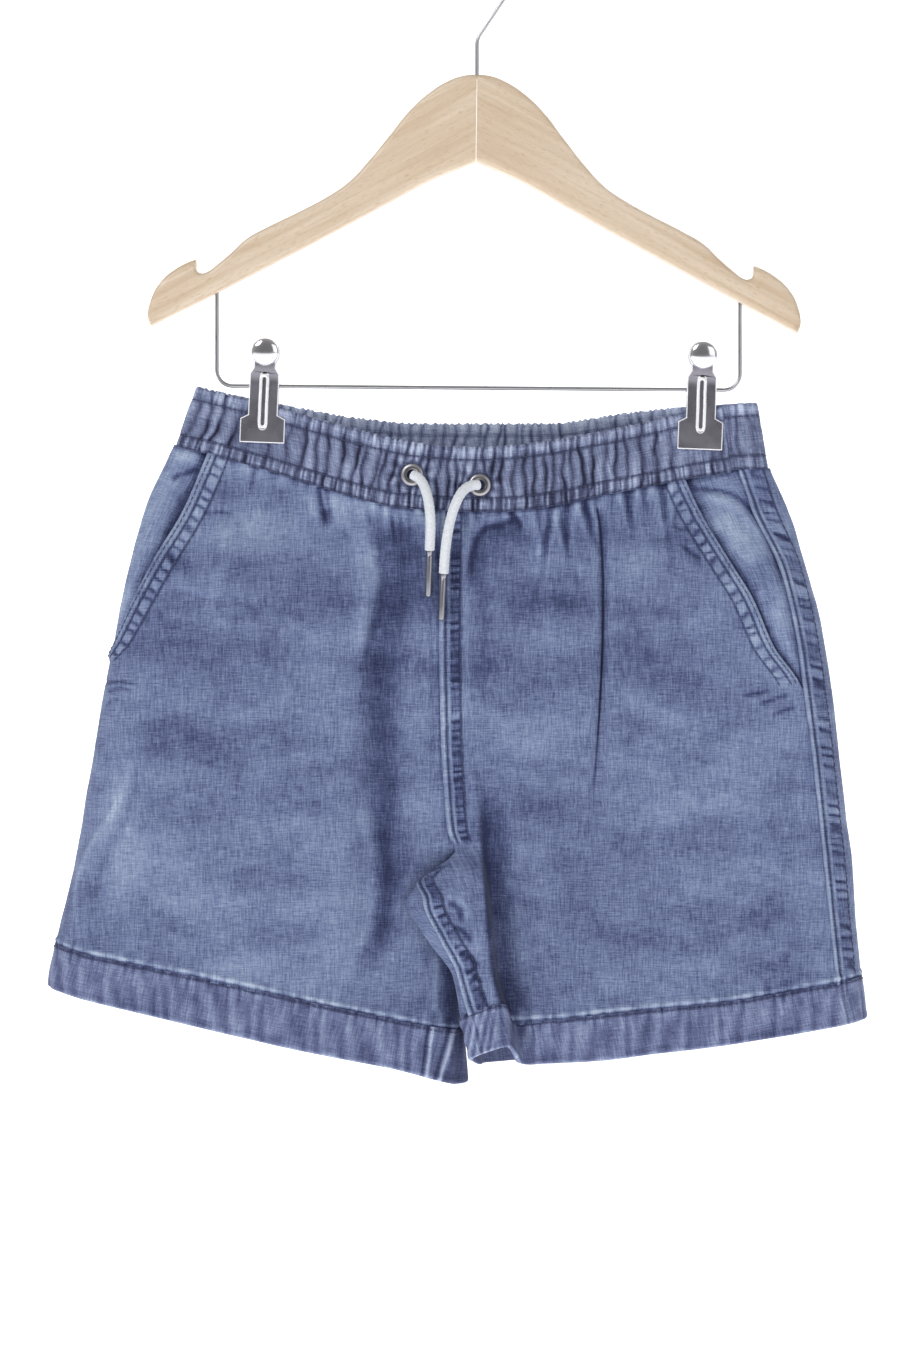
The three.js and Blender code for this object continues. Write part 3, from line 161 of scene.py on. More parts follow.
shader.inputs["Roughness"].default_value = 0.95
shader.inputs["Emission Color"].default_value = (1, 1, 1, 1)
shader.inputs["Emission Strength"].default_value = 0.7
stage.data.materials.append(paper)
stage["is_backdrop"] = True
print("camera lens", round(camera_data.lens, 1), "mm")

# %% [markdown]
# The cloth is one idea used many times: at each height a leg is cut by a level line, and the line that the
# cloth makes there is a curve from the rise seam round the side to the back. The tables give those lines in
# plan and in height, and are the same as in the solids, so the visible cloth lies on them.

# %% Tables of the cut and the hang, in millimetres
def table(names, *rows):
    return dict(zip(names.split(), np.array(rows, float).T))


LINES = {
    "left": table(
        "x waist waist_back crotch stitch bottom",
        (-214, -258, -258, -424, -508.5, -531),
        (-190, -258, -258, -427.5, -515, -537.5),
        (-165, -259, -259, -432, -520, -543.5),
        (-140, -264, -264, -437, -525, -549.5),
        (-113, -271, -268.5, -442, -531, -556),
        (-88, -278.5, -273, -447, -536.5, -561.5),
        (-63, -286.5, -277, -452, -542, -566.5),
        (-38, -292.5, -280, -457, -547.5, -572),
        (-11, -294.5, -281.5, -462, -553, -580),
    ),
    "right": table(
        "x waist waist_back crotch stitch bottom",
        (-11, -294.5, -281.5, -462, -549, -569.5),
        (11, -294.5, -281.5, -460.5, -548.5, -569.5),
        (36, -292, -281.5, -457.5, -546.5, -568),
        (61, -286.5, -279.5, -454, -544, -566.5),
        (86, -281.5, -276.5, -450.5, -541.5, -563.5),
        (111, -276.7, -274, -447, -539, -560.5),
        (136, -273.5, -273, -443.5, -536, -557),
        (165, -273, -273, -440.5, -530.5, -552),
        (195, -273, -273, -438, -525, -546.5),
    ),
}
OUTLINE = table(
    "z left right",
    (-547, -215, 195), (-530, -214, 192.5), (-510, -210.5, 190.5), (-470, -201, 187.5),
    (-430, -194, 182.5), (-390, -187, 178), (-350, -179.5, 172), (-310, -170.5, 161.5),
    (-290, -164.5, 154.5), (-270, -155.5, 146.5), (-258, -150.5, 145.5),
)
RISE = table(
    "z x front back",
    (-462, -11, -10.8, -7.2),
    (-452, -14.5, -11, -3),
    (-435, -16, -12, 3),
    (-404, -17.7, -13.5, 9),
    (-352, -18.5, -14.5, 13),
    (-294, -17.7, -13, 14),
)
DEPTH = table(
    "v front back",
    (0, 10, 10), (0.15, 13, 12), (0.35, 15.5, 14), (0.65, 16, 16), (1, 18, 17), (1.1, 19, 18),
)
WAIST_GAP = table(
    "x half",
    (-152, 5), (-134, 5), (-122, 1.6), (-92, 1.6), (-78, 5), (-50, 10), (-15, 13), (25, 12.5),
    (60, 9.5), (85, 4.5), (97, 1.6), (127, 1.6), (136, 4.5), (147, 4.5),
)
INNER_LEFT = table(
    "z tipX tipY edgeX edgeY backX backY",
    (-582, -5.5, 8, -21, -10, -14, 13),
    (-550, -7, 7, -19, -8, -15, 12.5),
    (-510, -8.5, 4, -17, -7, -15, 9.5),
    (-480, -10, 0, -16.5, -6.6, -15, 5),
    (-466, -11.6, -6, -16, -8.6, -15, -3),
    (-462, -12, -9, -14.5, -11, -14.5, -7),
)
INNER_RIGHT = table(
    "z tipX tipY underX underY kneeX kneeY wrap",
    (-570, -2.5, -12, 1, -6, 3, 1, 9),
    (-551, -7.5, -13, -3, -7, 0, 0, 7),
    (-527, -11.5, -15, -5, -9.5, -1, -2, 4),
    (-508, -24, -17, -13, -12.5, -2.5, -4, 6.5),
    (-489, -34, -17.5, -20, -13, -3.5, -5, 8.5),
    (-475, -23.5, -15.5, -14, -12, -4, -3.5, -5),
    (-466, -12.5, -12.4, -8, -9, -3, -2, -3),
    (-462, -10, -9, -7.5, -7, -2, 0, 0),
)
RIDGE_RIGHT = table(
    "z ridgeX ridgeY valleyX valleyY",
    (-570, 15.5, -21, 22, -8),
    (-551, 12, -21, 18.5, -8),
    (-527, 6.5, -21.5, 13.5, -8),
    (-508, 5, -22, 12, -8),
    (-489, 3, -22, 9.5, -9),
    (-475, 1.5, -19.5, 7, -10),
    (-462, 0.5, -13, 5, -10),
    (-440, -1.5, -13.5, 3.5, -11.5),
    (-400, -3, -14.5, 3, -14.5),
    (-294, -3, -13, 3, -13),
)
SEAMS_RIGHT = table(
    "z side pocket",
    (-550, 179.7, 179.7), (-418, 166, 166), (-384, 161.6, 161.6), (-361, 158.5, 147),
    (-338, 154, 137), (-321, 149.5, 127), (-294, 137, 111.5), (-273, 131, 102),
)
SEAMS_LEFT = table(
    "z pocket", (-362, -180.5), (-340, -171), (-318, -160), (-294, -146.5), (-258, -132)
)
FOLDS = {
    "front": [
        dict(top=(60, -290), bottom=(55.5, -464), bow=4, width=2.6, depth=2.4),
        dict(top=(68, -300), bottom=(64, -450), bow=4, width=7, depth=-1.2),
        dict(top=(-40, -296), bottom=(-57, -560), bow=-2, width=10, depth=4.5),
        dict(top=(-172, -420), bottom=(-190, -515), bow=-14, width=5, depth=-1.8),
        dict(top=(-100, -420), bottom=(-118, -590), bow=3, width=14, depth=2.2),
        dict(top=(84, -400), bottom=(92, -600), bow=-3, width=12, depth=2.4),
        dict(top=(128, -430), bottom=(142, -600), bow=3, width=12, depth=2),
        dict(top=(22, -300), bottom=(28, -440), bow=2, width=9, depth=1.6),
    ],
    "back": [
        dict(top=(62, -290), bottom=(76, -600), bow=4, width=11, depth=3.2),
        dict(top=(-48, -290), bottom=(-70, -600), bow=-4, width=11, depth=3.4),
        dict(top=(-112, -330), bottom=(-140, -600), bow=-3, width=12, depth=2.4),
        dict(top=(112, -340), bottom=(138, -600), bow=3, width=12, depth=2.4),
    ],
}
DENIM, BAND, HEM, SEAM_GAP = 1.4, 2.6, 2.2, 0.3
CROTCH, HEM_END, RISE_FOOT, RISE_FLAT = 0.65, 1.1, -11, 4
SIDE_BEHIND, POCKET_END_LEFT, POCKET_CLOSED_LEFT, POCKET_END = 4, -362, -371, 0.43
NOSE_TIP_LIFT, NOSE_RIDGE_LIFT = 3, 10
SIGN = {"left": -1, "right": 1}
FRONT_START = {"left": -44, "right": 34}
BACK_START = {"left": -43, "right": 22}


# %% Reading a table smoothly
def lerp(a, b, t):
    return a + (b - a) * t


def smooth(t):
    t = np.clip(t, 0, 1)
    return t * t * (3 - 2 * t)


def read(rows, at, name):
    key, value = rows[next(iter(rows))], rows[name]
    rise = np.diff(value) / np.diff(key)
    product, total = rise[:-1] * rise[1:], rise[:-1] + rise[1:]
    safe = np.where(product > 0, total, 1.0)
    slope = np.concatenate([rise[:1], np.where(product > 0, 2 * product / safe, 0.0), rise[-1:]])
    at = np.clip(at, key[0], key[-1])
    i = np.clip(np.searchsorted(key, at, side="right") - 1, 0, len(key) - 2)
    span = key[i + 1] - key[i]
    t = (at - key[i]) / span
    a, b, m, n = value[i], value[i + 1], slope[i] * span, slope[i + 1] * span
    return a + t * (m + t * (3 * (b - a) - 2 * m - n + t * (2 * (a - b) + m + n)))


def height_at(side, x, face, v):
    lines = LINES[side]
    waist = read(lines, x, "waist_back" if face == "back" else "waist")
    crotch, stitch, bottom = (read(lines, x, name) for name in ("crotch", "stitch", "bottom"))
    upper = lerp(waist, crotch, v / CROTCH)
    lower = lerp(crotch, stitch, (v - CROTCH) / (1 - CROTCH))
    hem = lerp(stitch, bottom, (v - 1) / (HEM_END - 1))
    return np.where(v < CROTCH, upper, np.where(v < 1, lower, hem))


def outline_x(side, v):
    x = SIGN[side] * 180.0
    for _ in range(6):
        x = float(read(OUTLINE, height_at(side, x, "front", v), side)) - SIGN[side] * DENIM / 2
    return x


def round_off(distance, over):
    return np.sqrt(1 - (1 - np.clip(distance / over, 0, 1)) ** 2)


def waist_half(x, distance):
    return read(WAIST_GAP, x, "half") * round_off(distance, 9)


print("outline at the waist", round(outline_x("left", 0), 1), round(outline_x("right", 0), 1))

# %% [markdown]
# Each level line is drawn through a few control points with a centripetal Catmull-Rom curve, which passes
# through its points without loops, and is then measured, so that any place on it can be given as a length
# of cloth from the side outline. Lengths to the front are negative and lengths to the back are positive.

# %% Section curves of the legs
def measure(points, edge, closed, split=12):
    p = np.array(points, float)
    if closed:
        p0, p1, p2, p3 = np.roll(p, 1, 0), p, np.roll(p, -1, 0), np.roll(p, -2, 0)
    else:
        q = np.vstack([2 * p[0] - p[1], p, 2 * p[-1] - p[-2]])
        p0, p1, p2, p3 = q[:-3], q[1:-2], q[2:-1], q[3:]
    step = lambda a, b: np.sqrt(np.linalg.norm(b - a, axis=1))[:, None]
    d0, d1, d2 = step(p0, p1), step(p1, p2), step(p2, p3)
    t1 = ((p1 - p0) / d0 - (p2 - p0) / (d0 + d1) + (p2 - p1) / d1) * d1
    t2 = ((p2 - p1) / d1 - (p3 - p1) / (d1 + d2) + (p3 - p2) / d2) * d1
    t = (np.arange(split) / split)[None, :, None]
    a, b, m, n = p1[:, None], p2[:, None], t1[:, None], t2[:, None]
    path = a + t * (m + t * (3 * (b - a) - 2 * m - n + t * (2 * (a - b) + m + n)))
    path = np.vstack([path.reshape(-1, p.shape[1]), p2[-1:]])
    run = np.concatenate([[0], np.cumsum(np.linalg.norm(np.diff(path[:, :2], axis=0), axis=1))])
    zero = run[edge * split]
    return dict(path=path, run=run - zero, front=zero, back=run[-1] - zero, total=run[-1], closed=closed)


def on_curve(ring, arc):
    if ring["closed"]:
        arc = (arc + ring["front"]) % ring["total"] - ring["front"]
    return np.stack([np.interp(arc, ring["run"], ring["path"][:, k]) for k in range(3)], -1)


def arc_at_x(ring, x):
    run, px = ring["run"], ring["path"][:, 0]
    front = run <= 1e-9
    run, px = run[front][::-1], px[front][::-1]
    crossing = np.nonzero((px[:-1] - x) * (px[1:] - x) <= 0)[0]
    if not len(crossing):
        return 0.0
    i = crossing[0]
    return float(lerp(run[i], run[i + 1], (x - px[i]) / (px[i + 1] - px[i] + 1e-12)))


FACE_STEPS = 14


def face_depth(x, v, face, inner_x, inner_depth, edge_x):
    from_edge = abs(edge_x - x)
    share = abs(x - inner_x) / abs(edge_x - inner_x)
    body = lerp(inner_depth, read(DEPTH, v, face), smooth(share / 0.3)) * round_off(from_edge, 20)
    return lerp(waist_half(x, from_edge), body, smooth(v / 0.25))


def section_points(side, v):
    sign, edge_x = SIGN[side], outline_x(side, v)
    z = float(height_at(side, RISE_FOOT, "front", v))
    rise = {name: float(read(RISE, z, name)) for name in ("x", "front", "back")}
    is_open = v < CROTCH
    inner_x = rise["x"] + (sign * SEAM_GAP / 2 if is_open else 0)
    rows = INNER_LEFT if side == "left" else INNER_RIGHT
    inner = {name: float(read(rows, z, name)) for name in list(rows)[1:]}
    points = []
    if is_open:
        points += [(inner_x, rise["front"], 0), (inner_x + sign * RISE_FLAT, rise["front"], 0)]
    elif side == "left":
        points += [(inner["tipX"], inner["tipY"], 0), (inner["edgeX"], inner["edgeY"], 0)]
    if side == "right":
        ridge = {name: float(read(RIDGE_RIGHT, z, name)) for name in list(RIDGE_RIGHT)[1:]}
        if not is_open:
            points.append((inner["tipX"], inner["tipY"], NOSE_TIP_LIFT))
            bulge = min(2.5, abs(ridge["ridgeX"] - inner["tipX"]) * 0.15)
            x, y = lerp(inner["tipX"], ridge["ridgeX"], 0.4), lerp(inner["tipY"], ridge["ridgeY"], 0.6)
            points.append((x, y - bulge, lerp(NOSE_TIP_LIFT, NOSE_RIDGE_LIFT, 0.6)))
        points.append((ridge["ridgeX"], ridge["ridgeY"], 0 if is_open else NOSE_RIDGE_LIFT))
        points.append((ridge["valleyX"], ridge["valleyY"], 0))
    below = float(smooth((v - CROTCH) / 0.12))
    depth = {"front": lerp(-rise["front"], 8, below), "back": lerp(max(rise["back"], 4), 12, below)}
    turn = np.sin(np.pi / 2 * np.arange(FACE_STEPS) / FACE_STEPS)
    x = lerp(FRONT_START[side], edge_x, turn)
    y = -face_depth(x, v, "front", inner_x, depth["front"], edge_x)
    points += [(a, b, 0) for a, b in zip(x, y)]
    edge = len(points)
    points.append((edge_x, 0, 0))
    x = lerp(BACK_START[side], edge_x, turn)[::-1]
    y = face_depth(x, v, "back", inner_x, depth["back"], edge_x)
    points += [(a, b, 0) for a, b in zip(x, y)]
    if is_open:
        points += [(inner_x + sign * RISE_FLAT, rise["back"], 0), (inner_x, rise["back"], 0)]
    elif side == "right":
        points += [(inner["kneeX"], inner["kneeY"], 0), (inner["underX"], inner["underY"], 0)]
    else:
        points.append((inner["backX"], inner["backY"], 0))
    return points, edge, not is_open


rings = {}


def ring_at(side, v):
    key = (side, round(v, 5))
    if key not in rings:
        rings[key] = measure(*section_points(side, v))
    return rings[key]


def fold_press(x, z, face):
    press = np.zeros_like(x)
    for fold in FOLDS[face]:
        top, bottom = np.array(fold["top"], float), np.array(fold["bottom"], float)
        length = np.linalg.norm(bottom - top)
        ux, uz = (bottom - top) / length
        t = ((x - top[0]) * ux + (z - top[1]) * uz) / length
        aside = -((x - top[0]) * uz - (z - top[1]) * ux) - fold["bow"] * np.sin(np.pi * np.clip(t, 0, 1))
        ends = smooth(t / 0.2) * smooth((1 - t) / 0.3)
        press += fold["depth"] * ends * np.exp(-((aside / fold["width"]) ** 2))
    return press


def cloth_row(side, v, arc):
    ring = ring_at(side, v)
    here = on_curve(ring, arc)
    x, y, lift = here[:, 0], here[:, 1], here[:, 2]
    is_back = (arc > 0) & (arc < ring["back"])
    z = np.where(is_back, height_at(side, x, "back", v), height_at(side, x, "front", v))
    z = z + lift * np.clip((v - CROTCH) / (1 - CROTCH), 0, 1)
    press = np.where(is_back, -fold_press(x, z, "back"), fold_press(x, z, "front"))
    return np.stack([x, y + press * smooth((np.abs(arc) - 12) / 20), z], -1)


# %% Where the seams lie along a leg's section
def rise_front(side, v):
    ring = ring_at(side, v)
    if v < CROTCH or side == "left":
        return -ring["front"]
    return -ring["front"] + float(read(INNER_RIGHT, height_at(side, RISE_FOOT, "front", v), "wrap"))


def rise_back(side, v):
    ring = ring_at(side, v)
    return ring["back"] if v < CROTCH else rise_front(side, v) + ring["total"]


def seen_seam(side, v, name):
    rows, x = (SEAMS_LEFT if side == "left" else SEAMS_RIGHT), SIGN[side] * 150.0
    for _ in range(5):
        x = float(read(rows, height_at(side, x, "front", v), name))
    return arc_at_x(ring_at(side, v), x)


def side_seam(side, v):
    return SIDE_BEHIND if side == "left" else seen_seam("right", v, "side")


def pocket_mouth(side, v):
    if side == "right":
        return min(seen_seam("right", v, "pocket"), side_seam("right", v))
    z = float(height_at("left", outline_x("left", v), "front", v))
    if z < POCKET_END_LEFT:
        closing = float(smooth((POCKET_END_LEFT - z) / (POCKET_END_LEFT - POCKET_CLOSED_LEFT)))
        return lerp(-3, SIDE_BEHIND, closing)
    return min(seen_seam("left", v, "pocket"), -3)


for side in ("left", "right"):
    waist_arc, mouth_arc = rise_front(side, 0.01), pocket_mouth(side, 0.2)
    print(side, "front arc at the waist", round(waist_arc, 1), "pocket", round(mouth_arc, 1))

# %% [markdown]
# A sheet of cloth is held as a grid: rows run down the leg and columns run round it. Its middle surface
# comes from the section curves, its outward direction from neighbouring points, and everything that a
# tailor's seams, gathers and wear do to it is added as a height along that direction. A second grid gives
# each point a tone, because raised denim rubs pale while the grooves stay dark; the same tone also holds
# painted shade in creases and hollows and under the waistband, and painted light on some crests and puffs.

# %% Sheets of cloth as grids
class Cloth:
    def __init__(self, base, arc, v, sign, thick):
        self.base, self.arc, self.v, self.thick = base, arc, v, thick
        self.height = np.zeros(base.shape[:2])
        self.tone = np.zeros(base.shape[:2])
        self.lift = np.zeros(base.shape[:2])
        self.under = np.zeros(base.shape[:2])
        # The inside face is painted darker by default: painted shade, as the inside of the shorts lies in
        # shade.
        self.inside_tone_and_shade = np.full(base.shape[:2], -0.35)
        along, up = np.gradient(base, axis=1), -np.gradient(base, axis=0)
        out = np.cross(along, up) * sign
        self.out = out / np.maximum(np.linalg.norm(out, axis=2, keepdims=True), 1e-9)
        down = np.linalg.norm(np.diff(base, axis=0), axis=2).mean(1)
        self.down = np.concatenate([[0], np.cumsum(down)])[:, None] * np.ones((1, base.shape[1]))
        self.grain = np.stack([arc, -self.down], -1)

    @property
    def x(self):
        return self.base[..., 0]

    @property
    def z(self):
        return self.base[..., 2]

    def outer(self):
        face = np.maximum(self.thick / 2 + self.height, 0.2 - self.thick / 2)
        return self.base + self.out * (face + self.lift)[..., None]

    def inner(self):
        return self.base - self.out * (self.thick / 2 + self.under - self.lift)[..., None]


def leg_cloth(side, rows, columns_at, thick=DENIM):
    arcs = np.array([columns_at(v) for v in rows])
    base = np.array([cloth_row(side, v, arc) for v, arc in zip(rows, arcs)])
    near = np.exp(-(((rows - CROTCH) / 0.012) ** 2))[:, None, None]
    for _ in range(6):
        mean = base.copy()
        mean[1:-1] = (base[:-2] + base[1:-1] * 2 + base[2:]) / 4
        base = base + (mean - base) * near
    return Cloth(base, arcs, np.array(rows), SIGN[side], thick)


SEAM_MARGIN, SEAM_STEP = 14.0, 0.45


def spaced(start, end, middle, pleat=None):
    """Places from start to end: finely spaced at both ends, where the seams lie, and at a pleat."""
    edge = int(round(SEAM_MARGIN / SEAM_STEP))
    margin = min(SEAM_MARGIN, (end - start) * 0.3)
    stops, counts = [start, start + margin, end - margin, end], [edge, middle, edge]
    if pleat is not None:
        stops[2:2] = [pleat - 3, pleat + 3]
        counts[1:2] = [middle // 2, 20, middle // 2]
    parts = [np.linspace(a, b, n, endpoint=False) for a, b, n in zip(stops, stops[1:], counts)]
    return np.concatenate(parts + [[end]])


def rim(a, b):
    """Triangles between two lines of vertices, one of which may have fewer points."""
    i = j = 0
    faces = []
    while i < len(a) - 1 or j < len(b) - 1:
        if j == len(b) - 1 or (i < len(a) - 1 and (i + 1) / (len(a) - 1) <= (j + 1) / (len(b) - 1)):
            faces.append((a[i], a[i + 1], b[j]))
            i += 1
        else:
            faces.append((a[i], b[j + 1], b[j]))
            j += 1
    return faces


def grid_quads(ids):
    return np.stack([ids[:-1, :-1], ids[1:, :-1], ids[1:, 1:], ids[:-1, 1:]], -1).reshape(-1, 4)


def picked(count, stride):
    keep = np.arange(0, count, stride)
    return keep if keep[-1] == count - 1 else np.append(keep, count - 1)


def build_shell(name, cloth, sign, material, stride=2, closed=False):
    outer, inner = cloth.outer(), cloth.inner()
    if closed:
        outer, inner = outer[:, :-1], inner[:, :-1]
    rows, columns = outer.shape[:2]
    keep_r = picked(rows, stride)
    keep_c = np.arange(0, columns, stride) if closed else picked(columns, stride)
    small = inner[np.ix_(keep_r, keep_c)]
    out_ids = np.arange(rows * columns).reshape(rows, columns)
    in_ids = rows * columns + np.arange(small.shape[0] * small.shape[1]).reshape(small.shape[:2])
    if closed:
        out_ids, in_ids = np.hstack([out_ids, out_ids[:, :1]]), np.hstack([in_ids, in_ids[:, :1]])
    quads = [grid_quads(out_ids), grid_quads(in_ids)[:, ::-1]]
    rims = rim(out_ids[0][::-1], in_ids[0][::-1]) + rim(out_ids[-1], in_ids[-1])
    if not closed:
        rims += rim(out_ids[:, 0], in_ids[:, 0]) + rim(out_ids[::-1, -1], in_ids[::-1, -1])
    quads, tris = np.vstack(quads), np.array(rims)
    # On these rims the outer line runs against the faces beside it, so each triangle is turned.
    tris = tris[:, ::-1]
    if sign < 0:
        quads, tris = quads[:, ::-1], tris[:, ::-1]
    verts = np.vstack([outer.reshape(-1, 3), small.reshape(-1, 3)]) * MM
    tone = cloth.tone[:, :columns]
    flat = cloth.grain[:, :columns] / 100
    uv = np.vstack([flat.reshape(-1, 2), flat[np.ix_(keep_r, keep_c)].reshape(-1, 2)])
    tones = np.concatenate([tone.reshape(-1), cloth.inside_tone_and_shade[np.ix_(keep_r, keep_c)].reshape(-1)])
    mesh = bpy.data.meshes.new(name)
    loops = np.concatenate([quads.reshape(-1), tris.reshape(-1)])
    starts = np.concatenate([np.arange(len(quads)) * 4, len(quads) * 4 + np.arange(len(tris)) * 3])
    mesh.vertices.add(len(verts))
    mesh.vertices.foreach_set("co", verts.astype(np.float32).reshape(-1))
    mesh.loops.add(len(loops))
    mesh.loops.foreach_set("vertex_index", loops.astype(np.int32))
    mesh.polygons.add(len(starts))
    mesh.polygons.foreach_set("loop_start", starts.astype(np.int32))
    mesh.update(calc_edges=True)
    layer = mesh.uv_layers.new(name="cloth")
    layer.data.foreach_set("uv", uv[loops].astype(np.float32).reshape(-1))
    attribute = mesh.attributes.new("tone", "FLOAT", "POINT")
    attribute.data.foreach_set("value", tones.astype(np.float32))
    mesh.shade_smooth()
    piece = bpy.data.objects.new(name, mesh)
    bpy.context.scene.collection.objects.link(piece)
    mesh.materials.append(material)
    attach(piece, BODY)
    print(name, len(quads) * 2 + len(tris), "triangles")
    return piece


# %% [markdown]
# What hands and washing do to denim is never even, so soft random fields and slow wobbles vary every seam
# rope, gather and crease. They are seeded, so that each run gives the same cloth.

# %% Uneven fields, ropes and creases
def wobble(t, length, seed):
    phase = np.random.default_rng(seed).uniform(0, 2 * np.pi, 4)
    rates = 2 * np.pi / length / np.array([1.0, 0.61, 0.37, 0.23])
    return sum(np.sin(t * rate + p) * w for rate, p, w in zip(rates, phase, (0.4, 0.3, 0.2, 0.1)))


def field(x, z, cell_x, cell_z, seed):
    cells = np.random.default_rng(seed).uniform(-1, 1, (256, 256))
    i, j = np.floor(x / cell_x), np.floor(z / cell_z)
    fx, fz = smooth(x / cell_x - i), smooth(z / cell_z - j)
    i, j = i.astype(int) % 256, j.astype(int) % 256
    i1, j1 = (i + 1) % 256, (j + 1) % 256
    low = lerp(cells[i, j], cells[i1, j], fx)
    high = lerp(cells[i, j1], cells[i1, j1], fx)
    return lerp(low, high, fz)


def puffs(phase):
    """Broad rounded puffs with narrow dark gaps between them, from 1 down to -1."""
    share = phase - np.floor(phase)
    return 1 - 2 * np.exp(-(((share - 0.5) / 0.17) ** 2))


def rope(cloth, along, across, width, pitch, lean, seed, depth, tone):
    """Puckers along a stitched band: across runs from 0 to width over the band."""
    q = across / width
    inside = smooth(q / 0.14) * smooth((1 - q) / 0.14)
    wave = puffs(along / pitch + lean * q + 0.45 * wobble(along, pitch * 4, seed))
    strength = np.clip(0.65 + 0.8 * wobble(along, pitch * 6, seed + 1), 0.12, 1.2)
    cloth.height += depth * wave * inside * strength
    cloth.tone += tone * (wave - 0.25) * inside * strength


def ridge(cloth, across, middle, width, height, tone):
    bump = np.exp(-(((across - middle) / width) ** 2))
    cloth.height += height * bump
    cloth.tone += tone * bump


def trace(cloth, form, points, taper=(0.15, 0.3)):
    """A trough along a line of (x, z) points, of a width, depth and tone, or a ridge if depth is negative."""
    width, depth, tone = form
    line = measure([(x, z, 0) for x, z in points], 0, False, 4)["path"][:, :2]
    reach = 3 * width
    near = (cloth.x > line[:, 0].min() - reach) & (cloth.x < line[:, 0].max() + reach)
    near &= (cloth.z > line[:, 1].min() - reach) & (cloth.z < line[:, 1].max() + reach)
    x, z = cloth.x[near], cloth.z[near]
    steps = np.linalg.norm(np.diff(line, axis=0), axis=1)
    run = np.concatenate([[0], np.cumsum(steps)])
    away, share = np.full(x.shape, np.inf), np.zeros(x.shape)
    for k in range(len(steps)):
        (ax, az), (bx, bz) = line[k], line[k + 1]
        t = np.clip(((x - ax) * (bx - ax) + (z - az) * (bz - az)) / steps[k] ** 2, 0, 1)
        here = np.hypot(x - ax - t * (bx - ax), z - az - t * (bz - az))
        closer = here < away
        away = np.where(closer, here, away)
        share = np.where(closer, (run[k] + t * steps[k]) / run[-1], share)
    shape = np.exp(-((away / width) ** 2)) * smooth(share / taper[0]) * smooth((1 - share) / taper[1])
    moved = cloth.lift if width > 1.8 else cloth.height
    moved[near] -= depth * shape
    # A trough's darker tone is painted shade; a ridge's paler tone is partly worn cloth and partly painted
    # light.
    cloth.tone[near] += tone * shape


def patch(cloth, x, z, wide, high, tone):
    """A worn, paler place, or a darker one where tone is negative."""
    cloth.tone += tone * np.exp(-(((cloth.x - x) / wide) ** 2) - ((cloth.z - z) / high) ** 2)


def roll_edge(cloth, distance, radius, amount=1.0):
    inside = np.clip(distance / radius, 0, 1)
    cloth.height -= amount * radius * (1 - np.sqrt(1 - (1 - inside) ** 2))


def general_wear(cloth, seed):
    x, z = cloth.arc, cloth.z
    cloth.lift += 0.55 * field(x, z, 26, 80, seed) + 0.3 * field(x, z, 38, 15, seed + 1)
    cloth.tone += 0.24 * field(x, z, 52, 17, seed + 2) + 0.17 * field(x, z, 21, 10, seed + 3)
    cloth.height += 0.07 * field(x, z, 8, 3.2, seed + 4)
    cloth.tone += 0.13 * field(x, z, 8, 4, seed + 5) - 0.06


def waist_gathers(cloth, side, face, spots, seed):
    """Creases that fan down from the gathered waistband, dark with painted shade and wide where they start.
    """
    drop = read(LINES[side], cloth.x, "waist" if face == "front" else "waist_back") - cloth.z
    below = np.clip(drop, 0, None)
    random = np.random.default_rng(seed)
    for x0 in spots:
        strong = random.random() < 0.33
        depth, width = (random.uniform(0.9, 1.4), 1.5) if strong else (random.uniform(0.35, 0.8), 1.1)
        reach = random.uniform(12, 30) if strong else random.uniform(4, 13)
        lean, bend = random.uniform(-0.2, 0.2), random.uniform(-0.006, 0.006)
        aside = cloth.x - x0 - lean * drop - bend * drop**2
        wide = width * (1 + 0.9 * np.exp(-below / 4))
        fall = np.exp(-((below / reach) ** 1.6))
        trough = np.exp(-((aside / wide) ** 2)) * fall
        shoulder = np.exp(-(((np.abs(aside) - wide * 1.9) / wide) ** 2)) * fall
        cloth.height += depth * (0.45 * shoulder - trough)
        cloth.tone += 0.5 * depth * shoulder - 1.2 * depth * trough
    # A thin dark line just under the band is its painted shadow; a few millimetres lower the cloth is painted
    # paler.
    cloth.tone += 0.28 * np.exp(-(((below - 4) / 4) ** 2)) - 0.7 * np.exp(-((below / 1.0) ** 2))


def over_hem(cloth, side, seed):
    """The panel is pulled in by the hem's stitches, and its last fold is worn pale."""
    above = cloth.z - read(LINES[side], cloth.x, "stitch")
    wave = np.cos(2 * np.pi * (cloth.arc / 7.5 + 0.4 * wobble(cloth.arc, 25, seed)))
    reach = np.exp(-((np.clip(above, 0, None) / 7) ** 1.5))
    cloth.height += 0.32 * wave * reach
    cloth.tone += 0.25 * wave * reach
    worn = 0.75 + 0.3 * wave + 0.4 * wobble(cloth.arc, 60, seed + 1)
    cloth.height += 0.7 * np.exp(-(((above - 2.2) / 1.2) ** 2))
    cloth.tone += 1.15 * worn * np.exp(-(((above - 2.1) / 1.1) ** 2))
    cloth.tone -= 0.9 * np.exp(-(((above - 0.1) / 0.8) ** 2))


# %% Rows down a panel
TOP_ROWS, MIDDLE_ROWS = np.linspace(-0.003, 0.03, 12), np.linspace(0.03, 0.96, 262)
HEM_ROWS = np.linspace(0.96, 1.004, 22)
ROWS = np.concatenate([TOP_ROWS[:-1], MIDDLE_ROWS[:-1], HEM_ROWS])


def seam_row(side, function):
    return np.array([function(side, v) for v in ROWS])[:, None]


def uneven_spots(start, end, pitch, seed):
    random, spots, x = np.random.default_rng(seed), [], start
    while x < end:
        spots.append(x)
        x += pitch(x) * random.uniform(0.6, 1.5)
    return spots


